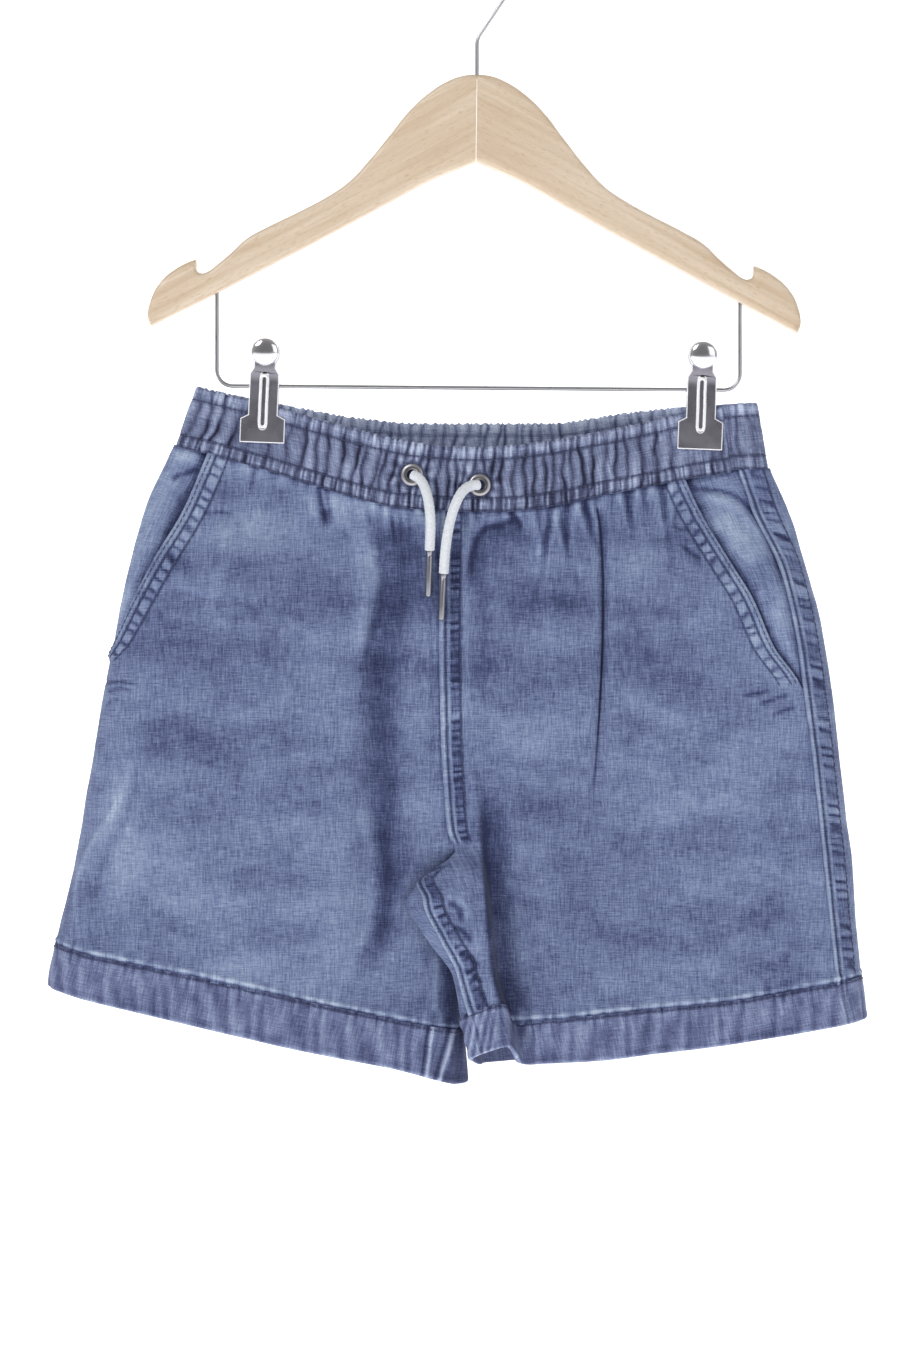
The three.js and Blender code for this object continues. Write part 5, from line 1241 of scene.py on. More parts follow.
def waistband(face, seed):
    half_round = band_ring(0.5)["total"] / 2
    start, end = -half_round - BAND_SIDE_LEFT, BAND_SIDE_RIGHT + 0.1
    if face == "back":
        start, end = BAND_SIDE_RIGHT, half_round - BAND_SIDE_LEFT + 0.1
    middle = np.linspace(start, end, 600)
    top, body = np.linspace(0, 0.04, 5), np.linspace(0.04, 0.97, 36)
    rows = np.concatenate([top[:-1], body[:-1], np.linspace(0.97, 1.0, 4)])
    scales = np.array([band_ring(float(w))["total"] / band_ring(0.5)["total"] for w in rows])
    arcs = scales[:, None] * middle[None, :]
    base = np.array([band_row(float(w), arc, face) for w, arc in zip(rows, arcs)])
    cloth = Cloth(base, arcs, rows, 1, BAND)
    random = np.random.default_rng(seed)
    grooves = groove_places(face, start, end, random)
    count = len(grooves)
    gaps = np.diff(grooves, append=grooves[-1] + 6)
    lean = random.uniform(-1, 1, count) * np.clip(gaps - 2.6, 0.5, 3.2)
    size, pale = random.uniform(0.55, 1.0, count), random.uniform(-0.3, 0.3, count)
    turns, rates = random.uniform(0, 6.28, count), random.uniform(3, 9, count)
    deep = random.uniform(0.55, 1.0, count)
    deep[random.random(count) < 0.2] *= 0.35
    for r, w in enumerate(rows):
        sway = 0.75 * np.sin(w * 7 + turns) + 0.35 * np.sin(w * 17 + 2 * turns)
        broken = 0.25 + 0.75 * smooth(0.5 + 0.9 * np.sin(w * rates + 3 * turns))
        lines = np.maximum.accumulate(grooves + lean * (w - 0.5) + sway + np.arange(count) * 1e-3)
        k = np.clip(np.searchsorted(lines, middle, side="right") - 1, 0, count - 2)
        share = np.clip((middle - lines[k]) / np.maximum(lines[k + 1] - lines[k], 1e-3), 0, 1)
        dome = np.sin(np.pi * share) ** 0.6
        cut = deep * broken
        cut_in = cut[k] * np.exp(-(((middle - lines[k]) / 0.75) ** 2))
        cut_in += cut[k + 1] * np.exp(-(((lines[k + 1] - middle) / 0.75) ** 2))
        # Near the rows of stitches the thread gathers the cloth again, into finer folds.
        fine = max(float(smooth((0.26 - w) / 0.07)), float(smooth((w - 0.76) / 0.04)))
        finer = 0.5 + 0.5 * np.cos(2 * np.pi * (middle / 3.3 + 0.5 * wobble(middle, 14, seed + 2)))
        x, z = base[r, :, 0], base[r, :, 2]
        fade = flat_places(x, z, w, face)
        if face == "back":
            fade = fade * lerp(0.45, 1.0, smooth((middle - 2) / 14))
        pinch = min(1.0, sum(math.exp(-(((w - at) / 0.026) ** 2)) for at in BAND_ROWS_AT))
        swell = (0.72 + 0.28 * math.exp(-(((w - 0.5) / 0.2) ** 2))) * (1 - 0.7 * pinch)
        puffed = (1.55 * size[k] * dome * (1 - 0.3 * fine) - 0.7 * cut_in + 0.4 * fine * finer) * fade
        cloth.height[r] += puffed * swell
        # Crests are painted paler and the cuts between gathers darker: partly the wear of raised cloth,
        # partly painted light on the crests and painted shade in the grooves.
        crest = np.sin(np.pi * share) ** 1.3
        crest_wear_and_light = 0.85 * (crest - 0.55) * (1 - 0.4 * fine)
        crest_wear_and_light = crest_wear_and_light + (0.7 + 0.5 * (w > 0.7)) * (finer - 0.6) * fine
        crest_wear_and_light = crest_wear_and_light + pale[k] * (1 + np.sin(w * 5 + turns[k]))
        cloth.tone[r] += (crest_wear_and_light * (1 - 0.3 * pinch) - 1.3 * cut_in) * (0.25 + 0.75 * fade)
        top_edge = 0.7 * math.exp(-(((w - 0.07) / 0.09) ** 2))
        cloth.tone[r] += top_edge - 0.6 * pinch + 0.1 * (w > 0.82)
        base[r, :, 2] += 0.9 * (finer - 0.5) * fade * max(0.0, 1 - w / 0.1)
        room = np.clip((read(WAIST_GAP, x, "half") - 1.6) / 3, 0, 1)
        cloth.under[r] += (1.1 * dome - 0.5 * cut_in) * fade * swell * room
        lining = 0.4 + 0.6 * (crest - 0.55) - 0.9 * cut_in
        cloth.inside_tone_and_shade[r] = lining + 0.6 * math.exp(-((w / 0.12) ** 2)) - 0.4 * pinch
    cloth.tone += 0.3 * field(arcs, base[..., 2], 9, 11, seed + 1) - 0.16
    roll_edge(cloth, rows[:, None] * 32 * np.ones_like(arcs), 1.5)
    if face == "front":
        for ex, ez in EYELETS.values():
            dx, dz = base[..., 0] - ex, base[..., 2] - ez
            away, turn = np.hypot(dx, dz), np.arctan2(dz, dx)
            rays = np.cos(turn * 9 + 0.8 * np.sin(turn * 2)) * np.exp(-(((away - 9) / 3.4) ** 2))
            cloth.height += 0.4 * rays
            # A ring of painted shade round each eyelet and a painted dark hole in its middle.
            shade = 0.6 * np.exp(-(((away - 6) / 1.2) ** 2))
            hole_shade = 1.4 * np.exp(-((away / 3.2) ** 4))
            cloth.tone += 0.45 * rays - shade - hole_shade
            cloth.height -= 1.2 * np.exp(-((away / 2.9) ** 6))
        ridge(cloth, end * np.ones_like(arcs) - middle[None, :], 0.8, 0.9, 0.5, 0.5)
    return cloth


bands = {"front": waistband("front", 401), "back": waistband("back", 431)}
print("waistband grid", bands["front"].arc.shape)

# %% [markdown]
# Washed denim is a twill of pale weft and indigo warp, and its threads are uneven: they read as fine
# crossed streaks. The weave is drawn in the cloth's own flat coordinates, 100 mm to a unit, so it follows
# each fold. Real threads are about 0.45 mm apart, which is finer than a pixel here, so they are drawn near
# 1 mm. The tone stored on the cloth moves the colour from navy grooves to rubbed, pale ridges, and it also
# carries the painted shade and painted light of creases, hollows and crests.

# %% Denim
def streaks(tree, uv, along, across, seed):
    """Noise in the cloth's own coordinates: cells to 100 mm along and across the cloth."""
    cells, shift = (along, across, 1), (seed, seed, seed)
    place = node(tree, "Mapping", [(uv, "UV", "Vector")], in_Scale=cells, in_Location=shift)
    noise = node(tree, "TexNoise", [(place, "Vector", "Vector")], in_Scale=1.0, in_Detail=2.0)
    noise.inputs["Roughness"].default_value = 0.6
    return noise


def denim_material(name, dark, low, middle, high, pale, contrast=1.0):
    material, tree, shader = new_material(name)
    uv = node(tree, "UVMap", uv_map="cloth")
    tone = node(tree, "Attribute", attribute_name="tone")
    weft = streaks(tree, uv, 13, 165, 0.0)
    warp = streaks(tree, uv, 165, 13, 3.7)
    fuzz = streaks(tree, uv, 90, 90, 9.1)
    cross = node(tree, "Math", [(weft, "Fac", 0), (warp, "Fac", 1)], operation="ADD")
    soft_fuzz = node(tree, "Math", [(fuzz, "Fac", 0)], in_1=0.5, in_2=0.25, operation="MULTIPLY_ADD")
    weave = node(tree, "Math", [(cross, "Value", 0), (soft_fuzz, "Value", 1)], operation="ADD")
    drift = streaks(tree, uv, 3.2, 6.5, 5.3)
    weave_range = dict(in_1=1.1, in_2=1.9, in_3=-0.78 * contrast, in_4=0.78 * contrast, clamp=False)
    weave_tone = node(tree, "MapRange", [(weave, "Value", "Value")], **weave_range)
    drift_range = dict(in_1=0.25, in_2=0.75, in_3=-0.25, in_4=0.25, clamp=False)
    drift_tone = node(tree, "MapRange", [(drift, "Fac", "Value")], **drift_range)
    both = [(weave_tone, "Result", 0), (drift_tone, "Result", 1)]
    marks = node(tree, "Math", both, operation="ADD")
    worn = node(tree, "Math", [(tone, "Fac", 0), (marks, "Value", 1)], operation="ADD")
    to_ramp = dict(in_1=-1.5, in_2=1.5, in_3=0.0, in_4=1.0)
    place = node(tree, "MapRange", [(worn, "Value", "Value")], **to_ramp)
    ramp = node(tree, "ValToRGB", [(place, "Result", "Fac")])
    ramp.color_ramp.elements[0].color = linear(dark)
    ramp.color_ramp.elements[1].color = linear(pale)
    for at, code in ((0.27, low), (0.5, middle), (0.73, high)):
        ramp.color_ramp.elements.new(at).color = linear(code)
    tree.links.new(ramp.outputs["Color"], shader.inputs["Base Color"])
    bump = node(tree, "Bump", [(weave, "Value", "Height")], in_Strength=0.6, in_Distance=0.00025)
    tree.links.new(bump.outputs["Normal"], shader.inputs["Normal"])
    shader.inputs["Roughness"].default_value = 0.92
    shader.inputs["Specular IOR Level"].default_value = 0.2
    shader.inputs["Sheen Weight"].default_value = 0.1
    shader.inputs["Sheen Roughness"].default_value = 0.5
    return material


washed_denim = denim_material(
    "washed_twill_denim", "#2a3050", "#4b5478", "#6d799d", "#8a98b6", "#b0bcd2"
)
band_denim = denim_material(
    "gathered_denim", "#2b2e45", "#4a4f6c", "#6b7493", "#96a0bd", "#c4cee3", 0.8
)
hem_denim = denim_material(
    "turned_up_denim", "#2c304d", "#4c5376", "#6a7397", "#8c97b6", "#b6c0d8", 0.9
)

cloth_pieces = {}
for side in ("left", "right"):
    sign = SIGN[side]
    for part, cloth, stride in (("front", fronts[side], 3), ("back", backs[side], 3)):
        made = build_shell(f"cloth_{part}_{side}", cloth, sign, washed_denim, stride)
        cloth_pieces[f"{part}_{side}"] = made
    made = build_shell("cloth_facing_" + side, facings[side], sign, washed_denim)
    cloth_pieces["pocket_facing_" + side] = made
    made = build_shell("cloth_hem_" + side, hems[side], sign, hem_denim, closed=True)
    cloth_pieces["hem_" + side] = made
for face in ("front", "back"):
    made = build_shell("cloth_waistband_" + face, bands[face], 1, band_denim, stride=1)
    cloth_pieces["waistband_" + face] = made
for name, piece in cloth_pieces.items():
    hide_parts(name)

# %% [markdown]
# Every seam is topstitched with thread of nearly the cloth's own navy. One stitch is a short domed thread
# whose two ends dive into the cloth. It is modelled once and set down hundreds of times along paths that
# are read from the finished cloth, so the stitches ride over every pucker. Spun polyester has a dull gloss
# and its plies vary a little in colour and height, which a fine noise gives.

# %% Stitches
STITCH, PITCH = 2.5, 3.2
STITCH_ALONG = np.array([-0.5, -0.32, 0, 0.32, 0.5])
STITCH_RISE = np.array([-0.2, 0.1, 0.2, 0.1, -0.2])
STITCH_WIDE = np.array([0.12, 0.25, 0.28, 0.25, 0.12])
CORNER_TURN = np.pi / 2 * np.arange(4) + np.pi / 4
STITCH_FACES = []
for r in range(4):
    for c in range(4):
        after = (c + 1) % 4
        STITCH_FACES.append((r * 4 + c, (r + 1) * 4 + c, (r + 1) * 4 + after, r * 4 + after))
STITCH_FACES += [(0, 1, 2, 3), (19, 18, 17, 16)]


def sample(cloth, r, c):
    """Surface points and outward directions at fractional rows and columns."""
    outer = cloth.outer()
    rows, columns = outer.shape[:2]
    r, c = np.clip(r, 0, rows - 1.001), np.clip(c, 0, columns - 1.001)
    i, j = r.astype(int), c.astype(int)
    fr, fc = (r - i)[:, None], (c - j)[:, None]

    def mix(g):
        above, below = lerp(g[i, j], g[i, j + 1], fc), lerp(g[i + 1, j], g[i + 1, j + 1], fc)
        return lerp(above, below, fr)

    return mix(outer), mix(cloth.out)


def down_line(cloth, arc_of_v, low, high):
    keep = np.nonzero((cloth.v >= low) & (cloth.v <= high))[0]
    columns = np.arange(cloth.arc.shape[1])
    places = [np.interp(arc_of_v(cloth.v[r]), cloth.arc[r], columns) for r in keep]
    return sample(cloth, keep.astype(float), np.array(places))


def round_line(cloth, v):
    r = np.interp(v, cloth.v, np.arange(len(cloth.v)))
    c = np.arange(0.5, cloth.arc.shape[1] - 1, 0.5)
    return sample(cloth, np.full(len(c), r), c)


def run_along(points):
    """How far along a line of points each one lies."""
    return np.concatenate([[0], np.cumsum(np.linalg.norm(np.diff(points, axis=0), axis=1))])


def stitch_row(line):
    points, outs = line
    run = run_along(points)
    at = np.arange(PITCH / 2, run[-1] - PITCH / 2, PITCH)
    placed = lambda g, s: np.stack([np.interp(s, run, g[:, k]) for k in range(3)], -1)
    middle, out = placed(points, at), placed(outs, at)
    ahead = placed(points, at + STITCH / 2) - placed(points, at - STITCH / 2)
    ahead /= np.linalg.norm(ahead, axis=1, keepdims=True)
    out -= ahead * np.sum(out * ahead, axis=1, keepdims=True)
    out /= np.linalg.norm(out, axis=1, keepdims=True)
    aside = np.cross(ahead, out)
    along = STITCH_ALONG[:, None] * STITCH * np.ones(4)
    wide = STITCH_WIDE[:, None] * np.cos(CORNER_TURN)
    high = STITCH_RISE[:, None] + 0.1 + STITCH_WIDE[:, None] * np.sin(CORNER_TURN)
    parts = [
        way[:, None, None] * size[None, ..., None]
        for way, size in ((ahead, along), (aside, wide), (out, high))
    ]
    return (middle[:, None, None] + sum(parts)).reshape(-1, 20, 3)


def sew(name, lines, material):
    stitches = np.concatenate([stitch_row(line) for line in lines])
    faces = (np.array(STITCH_FACES)[None] + 20 * np.arange(len(stitches))[:, None, None]).reshape(-1, 4)
    mesh = bpy.data.meshes.new(name)
    mesh.from_pydata((stitches.reshape(-1, 3) * MM).tolist(), [], faces.tolist())
    mesh.shade_smooth()
    mesh.materials.append(material)
    piece = bpy.data.objects.new(name, mesh)
    bpy.context.scene.collection.objects.link(piece)
    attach(piece, BODY)
    print(name, len(stitches), "stitches")
    return piece


def spun(name, dark, pale, cell_mm, rough, bump_mm):
    """Yarn: a noise with cells of the ply's size moves the colour and the height."""
    material, tree, shader = new_material(name)
    place = node(tree, "TexCoord")
    cells = 1000 / cell_mm
    ply = node(tree, "TexNoise", [(place, "Object", "Vector")], in_Scale=cells, in_Detail=2.0)
    ramp = node(tree, "ValToRGB", [(ply, "Fac", "Fac")])
    for element, at, code in zip(ramp.color_ramp.elements, (0.35, 0.65), (dark, pale)):
        element.position, element.color = at, linear(code)
    tree.links.new(ramp.outputs["Color"], shader.inputs["Base Color"])
    high = bump_mm * MM
    bump = node(tree, "Bump", [(ply, "Fac", "Height")], in_Strength=0.5, in_Distance=high)
    tree.links.new(bump.outputs["Normal"], shader.inputs["Normal"])
    shader.inputs["Roughness"].default_value = rough
    return material


thread = spun("navy_polyester_thread", "#333a5a", "#454c70", 0.6, 0.55, 0.05)

MOUTH_ROWS, SIDE_ROWS, RISE_ROWS = (1.9, 4.5, 10.4), (2.5, 12.0), (2.5, 9.8)
RISE_END, INSEAM_START, HEM_ROW = CROTCH - 0.012, CROTCH + 0.08, 1.0055


def beside(cloth, side, seam, sign, rows, low=0.0, high=1.0):
    """Rows of stitches beside a seam, at their distances from it."""
    return [down_line(cloth, lambda v, d=d: seam(side, v) + sign * d, low, high) for d in rows]


for side in ("left", "right"):
    front, back, hem = fronts[side], backs[side], hems[side]
    lines = beside(front, side, pocket_mouth, -1, MOUTH_ROWS, high=POCKET_END - 0.01)
    lines += beside(back, side, side_seam, 1, SIDE_ROWS)
    lines.append(round_line(hem, HEM_ROW))
    if side == "right":
        lines += beside(front, side, rise_front, 1, RISE_ROWS, high=RISE_END)
        lines += beside(back, side, rise_back, -1, RISE_ROWS, high=RISE_END)
        lines += beside(front, side, rise_front, 1, RISE_ROWS, low=INSEAM_START)
    sew("stitches_" + side, lines, thread)
band_lines = [round_line(bands[face], w) for face in ("front", "back") for w in BAND_ROWS_AT]
sew("stitches_waistband", band_lines, thread)

# %% [markdown]
# The drawcord is a limp braided cotton cord, 5 mm thick, and the photograph shows both of its free ends, so
# its length there is all there is. Each end leaves its eyelet, turns down within a few diameters and hangs
# against the cloth. The route is the solids' own, in millimetres. Cotton is matt and slightly uneven, so
# it takes the same noise as the thread, with larger cells and paler colours.

# %% Drawcord
CORD_ROUTES = {
    "left": (
        (-32.3, -16.4, -276.2), (-29.32, -18.19, -277.84), (-27.13, -19.99, -280.43),
        (-25.65, -21.29, -283.73), (-24.61, -22.12, -287.34), (-23.89, -22.56, -291.1),
        (-23.41, -22.67, -294.93), (-23.14, -22.49, -298.77), (-23.07, -22.06, -302.6),
        (-23.18, -21.43, -306.4), (-23.38, -20.72, -310.18), (-23.5, -20.2, -314),
    ),
    "right": (
        (1.2, -17.2, -281.3), (-3.23, -18.89, -281.89), (-6.76, -21.03, -284.27),
        (-9.37, -22.31, -288.08), (-11.29, -22.74, -292.46), (-12.75, -22.73, -297.05),
        (-13.88, -22.48, -301.72), (-14.77, -22.12, -306.43), (-15.45, -21.7, -311.17),
        (-15.97, -21.26, -315.94), (-16.34, -20.81, -320.71), (-16.6, -20.4, -325.5),
    ),
}
CORD, STRAND = 5.2, 0.12
AGLET_LENGTH = 23.5

cotton = spun("braided_cotton", "#d0d5dc", "#e1e4e9", 0.9, 0.85, 0.05)


def cord_piece(side, aglet):
    path = measure(CORD_ROUTES[side], 0, False, 10)["path"]
    run = run_along(path)
    s = np.linspace(0, run[-1], 120)
    middle = np.stack([np.interp(s, run, path[:, k]) for k in range(3)], -1)
    ahead = np.gradient(middle, axis=0)
    ahead /= np.linalg.norm(ahead, axis=1, keepdims=True)
    side_way = np.cross(ahead, (0.0, 0.0, 1.0))
    side_way[0] = side_way[1]
    frames = [side_way[0] / np.linalg.norm(side_way[0])]
    for k in range(1, len(s)):
        kept = frames[-1] - ahead[k] * np.dot(frames[-1], ahead[k])
        frames.append(kept / np.linalg.norm(kept))
    a = np.array(frames)
    b = np.cross(ahead, a)
    turn = np.linspace(0, 2 * np.pi, 32, endpoint=False)
    # Two sets of strands cross over and under each other round the braid.
    twist = s[:, None] * 1.5
    plait = np.cos(4 * turn[None] + twist) * np.cos(4 * turn[None] - twist)
    end = np.clip(np.minimum(s, s[-1] - s) / 0.6, 0, 1)[:, None]
    radius = (CORD / 2 - STRAND + STRAND * plait) * np.sqrt(1 - 0.4 * (1 - end) ** 2)
    outward = np.cos(turn)[None, :, None] * a[:, None] + np.sin(turn)[None, :, None] * b[:, None]
    verts = middle[:, None] + radius[..., None] * outward
    n, m = len(s), len(turn)
    ids = np.arange(n * m).reshape(n, m)
    ids = np.hstack([ids, ids[:, :1]])
    faces = grid_quads(ids).tolist() + [list(range(m))[::-1], list(range((n - 1) * m, n * m))]
    mesh = bpy.data.meshes.new("drawcord_" + side)
    mesh.from_pydata((verts.reshape(-1, 3) * MM).tolist(), [], faces)
    mesh.shade_smooth()
    mesh.materials.append(cotton)
    piece = bpy.data.objects.new("drawcord_end_" + side, mesh)
    bpy.context.scene.collection.objects.link(piece)
    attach(piece, BODY)
    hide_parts("drawcord_" + side)
    print(piece.name, "length", round(run[-1], 1))


# %% [markdown]
# Hard pieces begin as a primitive at its size and are shaped in edit mode, the way a person models them by
# hand. Small helpers enter and leave edit mode, pick vertices by their place and settle a finished piece.

# %% Helpers for hard pieces
def begin_edit(piece):
    bpy.ops.object.select_all(action="DESELECT")
    piece.select_set(True)
    bpy.context.view_layer.objects.active = piece
    bpy.ops.object.mode_set(mode="EDIT")
    bpy.ops.mesh.select_all(action="SELECT")


def end_edit():
    bpy.ops.object.mode_set(mode="OBJECT")


def pick(piece, test, kind="VERT"):
    """Selects the vertices or faces of the piece that pass a test of their place, in millimetres."""
    bpy.ops.mesh.select_all(action="DESELECT")
    bpy.ops.mesh.select_mode(type=kind)
    shape = bmesh.from_edit_mesh(piece.data)
    for part in shape.verts if kind == "VERT" else shape.faces:
        at = part.co if kind == "VERT" else part.calc_center_median()
        part.select = bool(test(at / MM))
    shape.select_flush_mode()
    bmesh.update_edit_mesh(piece.data)


def settle(piece, name, material, replaced, smooth_angle=35):
    bpy.ops.object.select_all(action="DESELECT")
    piece.select_set(True)
    bpy.context.view_layer.objects.active = piece
    bpy.ops.object.transform_apply(location=True, rotation=True, scale=True)
    begin_edit(piece)
    bpy.ops.mesh.remove_doubles(threshold=1e-6)
    bpy.ops.mesh.normals_make_consistent(inside=False)
    end_edit()
    bpy.ops.object.shade_smooth_by_angle(angle=math.radians(smooth_angle))
    piece.name = name
    piece.data.materials.clear()
    piece.data.materials.append(material)
    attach(piece, BODY)
    if replaced:
        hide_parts(*replaced)
    shape = bmesh.new()
    shape.from_mesh(piece.data)
    open_edges = sum(len(edge.link_faces) != 2 for edge in shape.edges)
    shape.free()
    print(name, len(piece.data.polygons), "faces,", open_edges, "open edges")
    return piece


# %% [markdown]
# Plated metal is never one grey. Handling leaves it a little rougher in some places, so a soft noise with
# cells of a few millimetres moves the roughness, which breaks up the reflections.

# %% Metals
def metal(name, colour, rough, spread, cell_mm):
    material, tree, shader = new_material(name)
    place = node(tree, "TexCoord")
    cells = 1000 / cell_mm
    patches = node(tree, "TexNoise", [(place, "Object", "Vector")], in_Scale=cells, in_Detail=3.0)
    span = dict(in_1=0.3, in_2=0.7, in_3=rough - spread, in_4=rough + spread)
    polish = node(tree, "MapRange", [(patches, "Fac", "Value")], **span)
    tree.links.new(polish.outputs["Result"], shader.inputs["Roughness"])
    shader.inputs["Base Color"].default_value = linear(colour)
    shader.inputs["Metallic"].default_value = 1.0
    return material


antique_nickel = metal("antique_nickel", "#b3b1b4", 0.36, 0.05, 3.0)
gunmetal = metal("polished_gunmetal", "#9b9ba2", 0.3, 0.04, 6.0)
wire_steel = metal("drawn_steel_wire", "#b5b6ba", 0.3, 0.05, 6.0)
plated_steel = metal("plated_spring_steel", "#aaa7b2", 0.3, 0.05, 8.0)
painted_highlight_edge = metal("painted_edge_highlight", "#fbfbff", 0.42, 0.05, 8.0)
# This finish is a painted highlight for light caught on edges: near-white and less metallic, so it stays
# bright instead of mirroring the room.
painted_highlight_edge.node_tree.nodes["Principled BSDF"].inputs["Metallic"].default_value = 0.35
knob_steel = metal("polished_knob_steel", "#e6e5ea", 0.13, 0.03, 8.0)
print("metals made")

# %% [markdown]
# An eyelet is stamped from sheet: a rolled ring outside, whose inner lip turns down into the hole. It is a
# torus that is pressed flat, with the inside ring of points pushed back.

# %% Eyelets
EYELET_RING, EYELET_ROLL, EYELET_STANDS = 4.1, 1.45, 0.9


def eyelet_piece(side):
    bpy.ops.mesh.primitive_torus_add(
        major_segments=72,
        minor_segments=18,
        major_radius=EYELET_RING * MM,
        minor_radius=EYELET_ROLL * MM,
        location=(0, 0, 0),
    )
    piece = bpy.context.object
    begin_edit(piece)
    bpy.ops.transform.resize(value=(1, 1, 0.6))
    pick(piece, lambda at: math.hypot(at.x, at.y) < EYELET_RING - 0.45 * EYELET_ROLL)
    bpy.ops.transform.translate(value=(0, 0, -0.8 * MM))
    groove = EYELET_RING - 0.35 * EYELET_ROLL
    pick(piece, lambda at: abs(math.hypot(at.x, at.y) - groove) < 0.25 and at.z > 0)
    bpy.ops.transform.translate(value=(0, 0, -0.25 * MM))
    end_edit()
    x, z = EYELETS[side]
    ring = band_ring(0.5)
    arc = arc_at_x(ring, x)
    ahead = on_curve(ring, np.array([arc + 1.0, arc - 1.0, arc]))
    along = ahead[0] - ahead[1]
    out = Vector((along[1], -along[0], 0)).normalized()
    piece.rotation_euler = out.to_track_quat("Z", "Y").to_euler()
    seat = ahead[2][1] + out.y * (BAND / 2 + EYELET_STANDS)
    piece.location = (x * MM, seat * MM, z * MM)
    return settle(piece, "eyelet_ring_" + side, antique_nickel, ["eyelet_" + side])


for side in ("left", "right"):
    eyelet_piece(side)

# %% [markdown]
# An aglet is a metal tube crimped on the cord's end: a cylinder with two loops cut round it near the top,
# the one between them drawn in for the crimp, and its far end rounded by a bevel.

# %% Aglets
AGLET, CRIMP_AT, CRIMP_HALF = 3.3, 2.7, 0.5


def aglet_piece(side):
    route = np.array(CORD_ROUTES[side])
    down = Vector(route[-1] - route[-2]).normalized()
    length = AGLET_LENGTH
    bpy.ops.mesh.primitive_cylinder_add(
        vertices=32, radius=AGLET / 2 * MM, depth=length * MM, location=(0, 0, 0)
    )
    piece = bpy.context.object
    begin_edit(piece)
    crimp = length / 2 - CRIMP_AT
    for height in (crimp + CRIMP_HALF, crimp, crimp - CRIMP_HALF):
        bpy.ops.mesh.select_all(action="SELECT")
        bpy.ops.mesh.bisect(plane_co=(0, 0, height * MM), plane_no=(0, 0, 1))
    pick(piece, lambda at: abs(at.z - crimp) < 0.1)
    bpy.ops.transform.resize(value=(0.84, 0.84, 1))
    pick(piece, lambda at: at.z < -length / 2 + 0.01, "FACE")
    bpy.ops.mesh.bevel(offset=1.15 * MM, segments=6, affect="EDGES")
    pick(piece, lambda at: at.z > length / 2 - 0.01, "FACE")
    bpy.ops.mesh.bevel(offset=0.25 * MM, segments=2, affect="EDGES")
    end_edit()
    piece.rotation_euler = (-down).to_track_quat("Z", "Y").to_euler()
    piece.location = (Vector(route[-1]) + down * (length / 2 - 0.4)) * MM
    return settle(piece, "aglet_tube_" + side, gunmetal, ["aglet_" + side], 40)


for side in ("left", "right"):
    cord_piece(side, aglet_piece(side))

# %% [markdown]
# The hook and the clip bar are bent from the same 2 mm wire. A disc of that size is drawn out straight by
# extrude and round each bend by spin, just as the wire goes round its former.

# %% Wires
WIRE = 2.0
FRONT_VIEW = Vector((0, -1, 0))


def disc(vertices, radius):
    bpy.ops.mesh.primitive_circle_add(
        vertices=vertices, radius=radius * MM, fill_type="NGON", location=(0, 0, 0)
    )
    piece = bpy.context.object
    begin_edit(piece)
    return piece


def wire_start(place):
    piece = disc(20, WIRE / 2)
    bpy.ops.transform.translate(value=Vector(place) * MM)
    return piece


def run_on(x, z, back=0.0):
    bpy.ops.mesh.extrude_region_move(TRANSFORM_OT_translate={"value": (x * MM, back * MM, z * MM)})


def bend(x, z, degrees, steps):
    """Turns on round a centre: positive is anticlockwise as seen from the front."""
    turn, centre = -math.radians(degrees), (x * MM, 0, z * MM)
    bpy.ops.mesh.spin(steps=steps, angle=turn, center=centre, axis=FRONT_VIEW)


# The hook: up from the wood, a small bend to the right, a slant, then the round that a rail carries.
hook_piece = wire_start((0, 0, -77.5))
run_on(0, 17.2)
bend(9, -60.3, -34, 8)
run_on(15.87, 23.53)
bend(0, -20, 234, 60)
end_edit()
settle(hook_piece, "hook_wire", wire_steel, ["hook"], 50)

# The clip bar: down from the left arm, across under both, and up to the right arm.
bar_piece = wire_start((-130, 0, -184))
run_on(0, -39)
bend(-122, -223, 90, 12)
run_on(245.5, -2)
bend(123.5, -225, 90, 12)
run_on(0, 37.5)
end_edit()
settle(bar_piece, "clip_bar_wire", wire_steel, ["clip_bar"], 50)

# %% [markdown]
# A clip is a strip of plated spring steel bent over the bar. The solid's own form is copied and cut in
# level rows, so that its sharp bends can be rounded as a press rounds them. Then its edges are bevelled and
# a narrow border is inset, and both take a near-white finish, a painted highlight for the bright lines of
# light caught on the rounded edges. A domed cap is pressed on as the knob.

# %% Clips
KNOBS = {"left": (-105.65, -214.2), "right": (112.85, -215.8)}
KNOB_FRONT, KNOB_CAP, KNOB_DOME, KNOB_TILT = -3.0, 6.9, 0.36, math.radians(6)
CLIP_BARS = {"left": (-106.3, -231.2), "right": (112.2, -232.8)}
CLIP_LEAN = math.radians(2.2)
# Height above the bar, and how far the sheet's face stands from the middle there.
CLIP_BENDS = ((-28, -5.4, -1.6, 4, 10, 19), (4.3, 4.3, 2.4, 2.4, 3.8, 3.8))
CLIP_ROWS = [-24, -12.5] + [-10.8 + 0.9 * step for step in range(27)]
BEND_SAMPLES, BEND_SPREAD = 401, 91
BORDER, EDGE_ROUND = 0.55, 0.42
RIM, SLOT_HALF, SLOT_FOOT, SLOT_TOP = 0.8, 1.7, -18.9, 3.6
# From the slot's foot up, each stretch of the rim: how far back and how far up it runs.
RIM_RUNS = ((-0.4, 9.5), (1.9, 7), (0, 6))


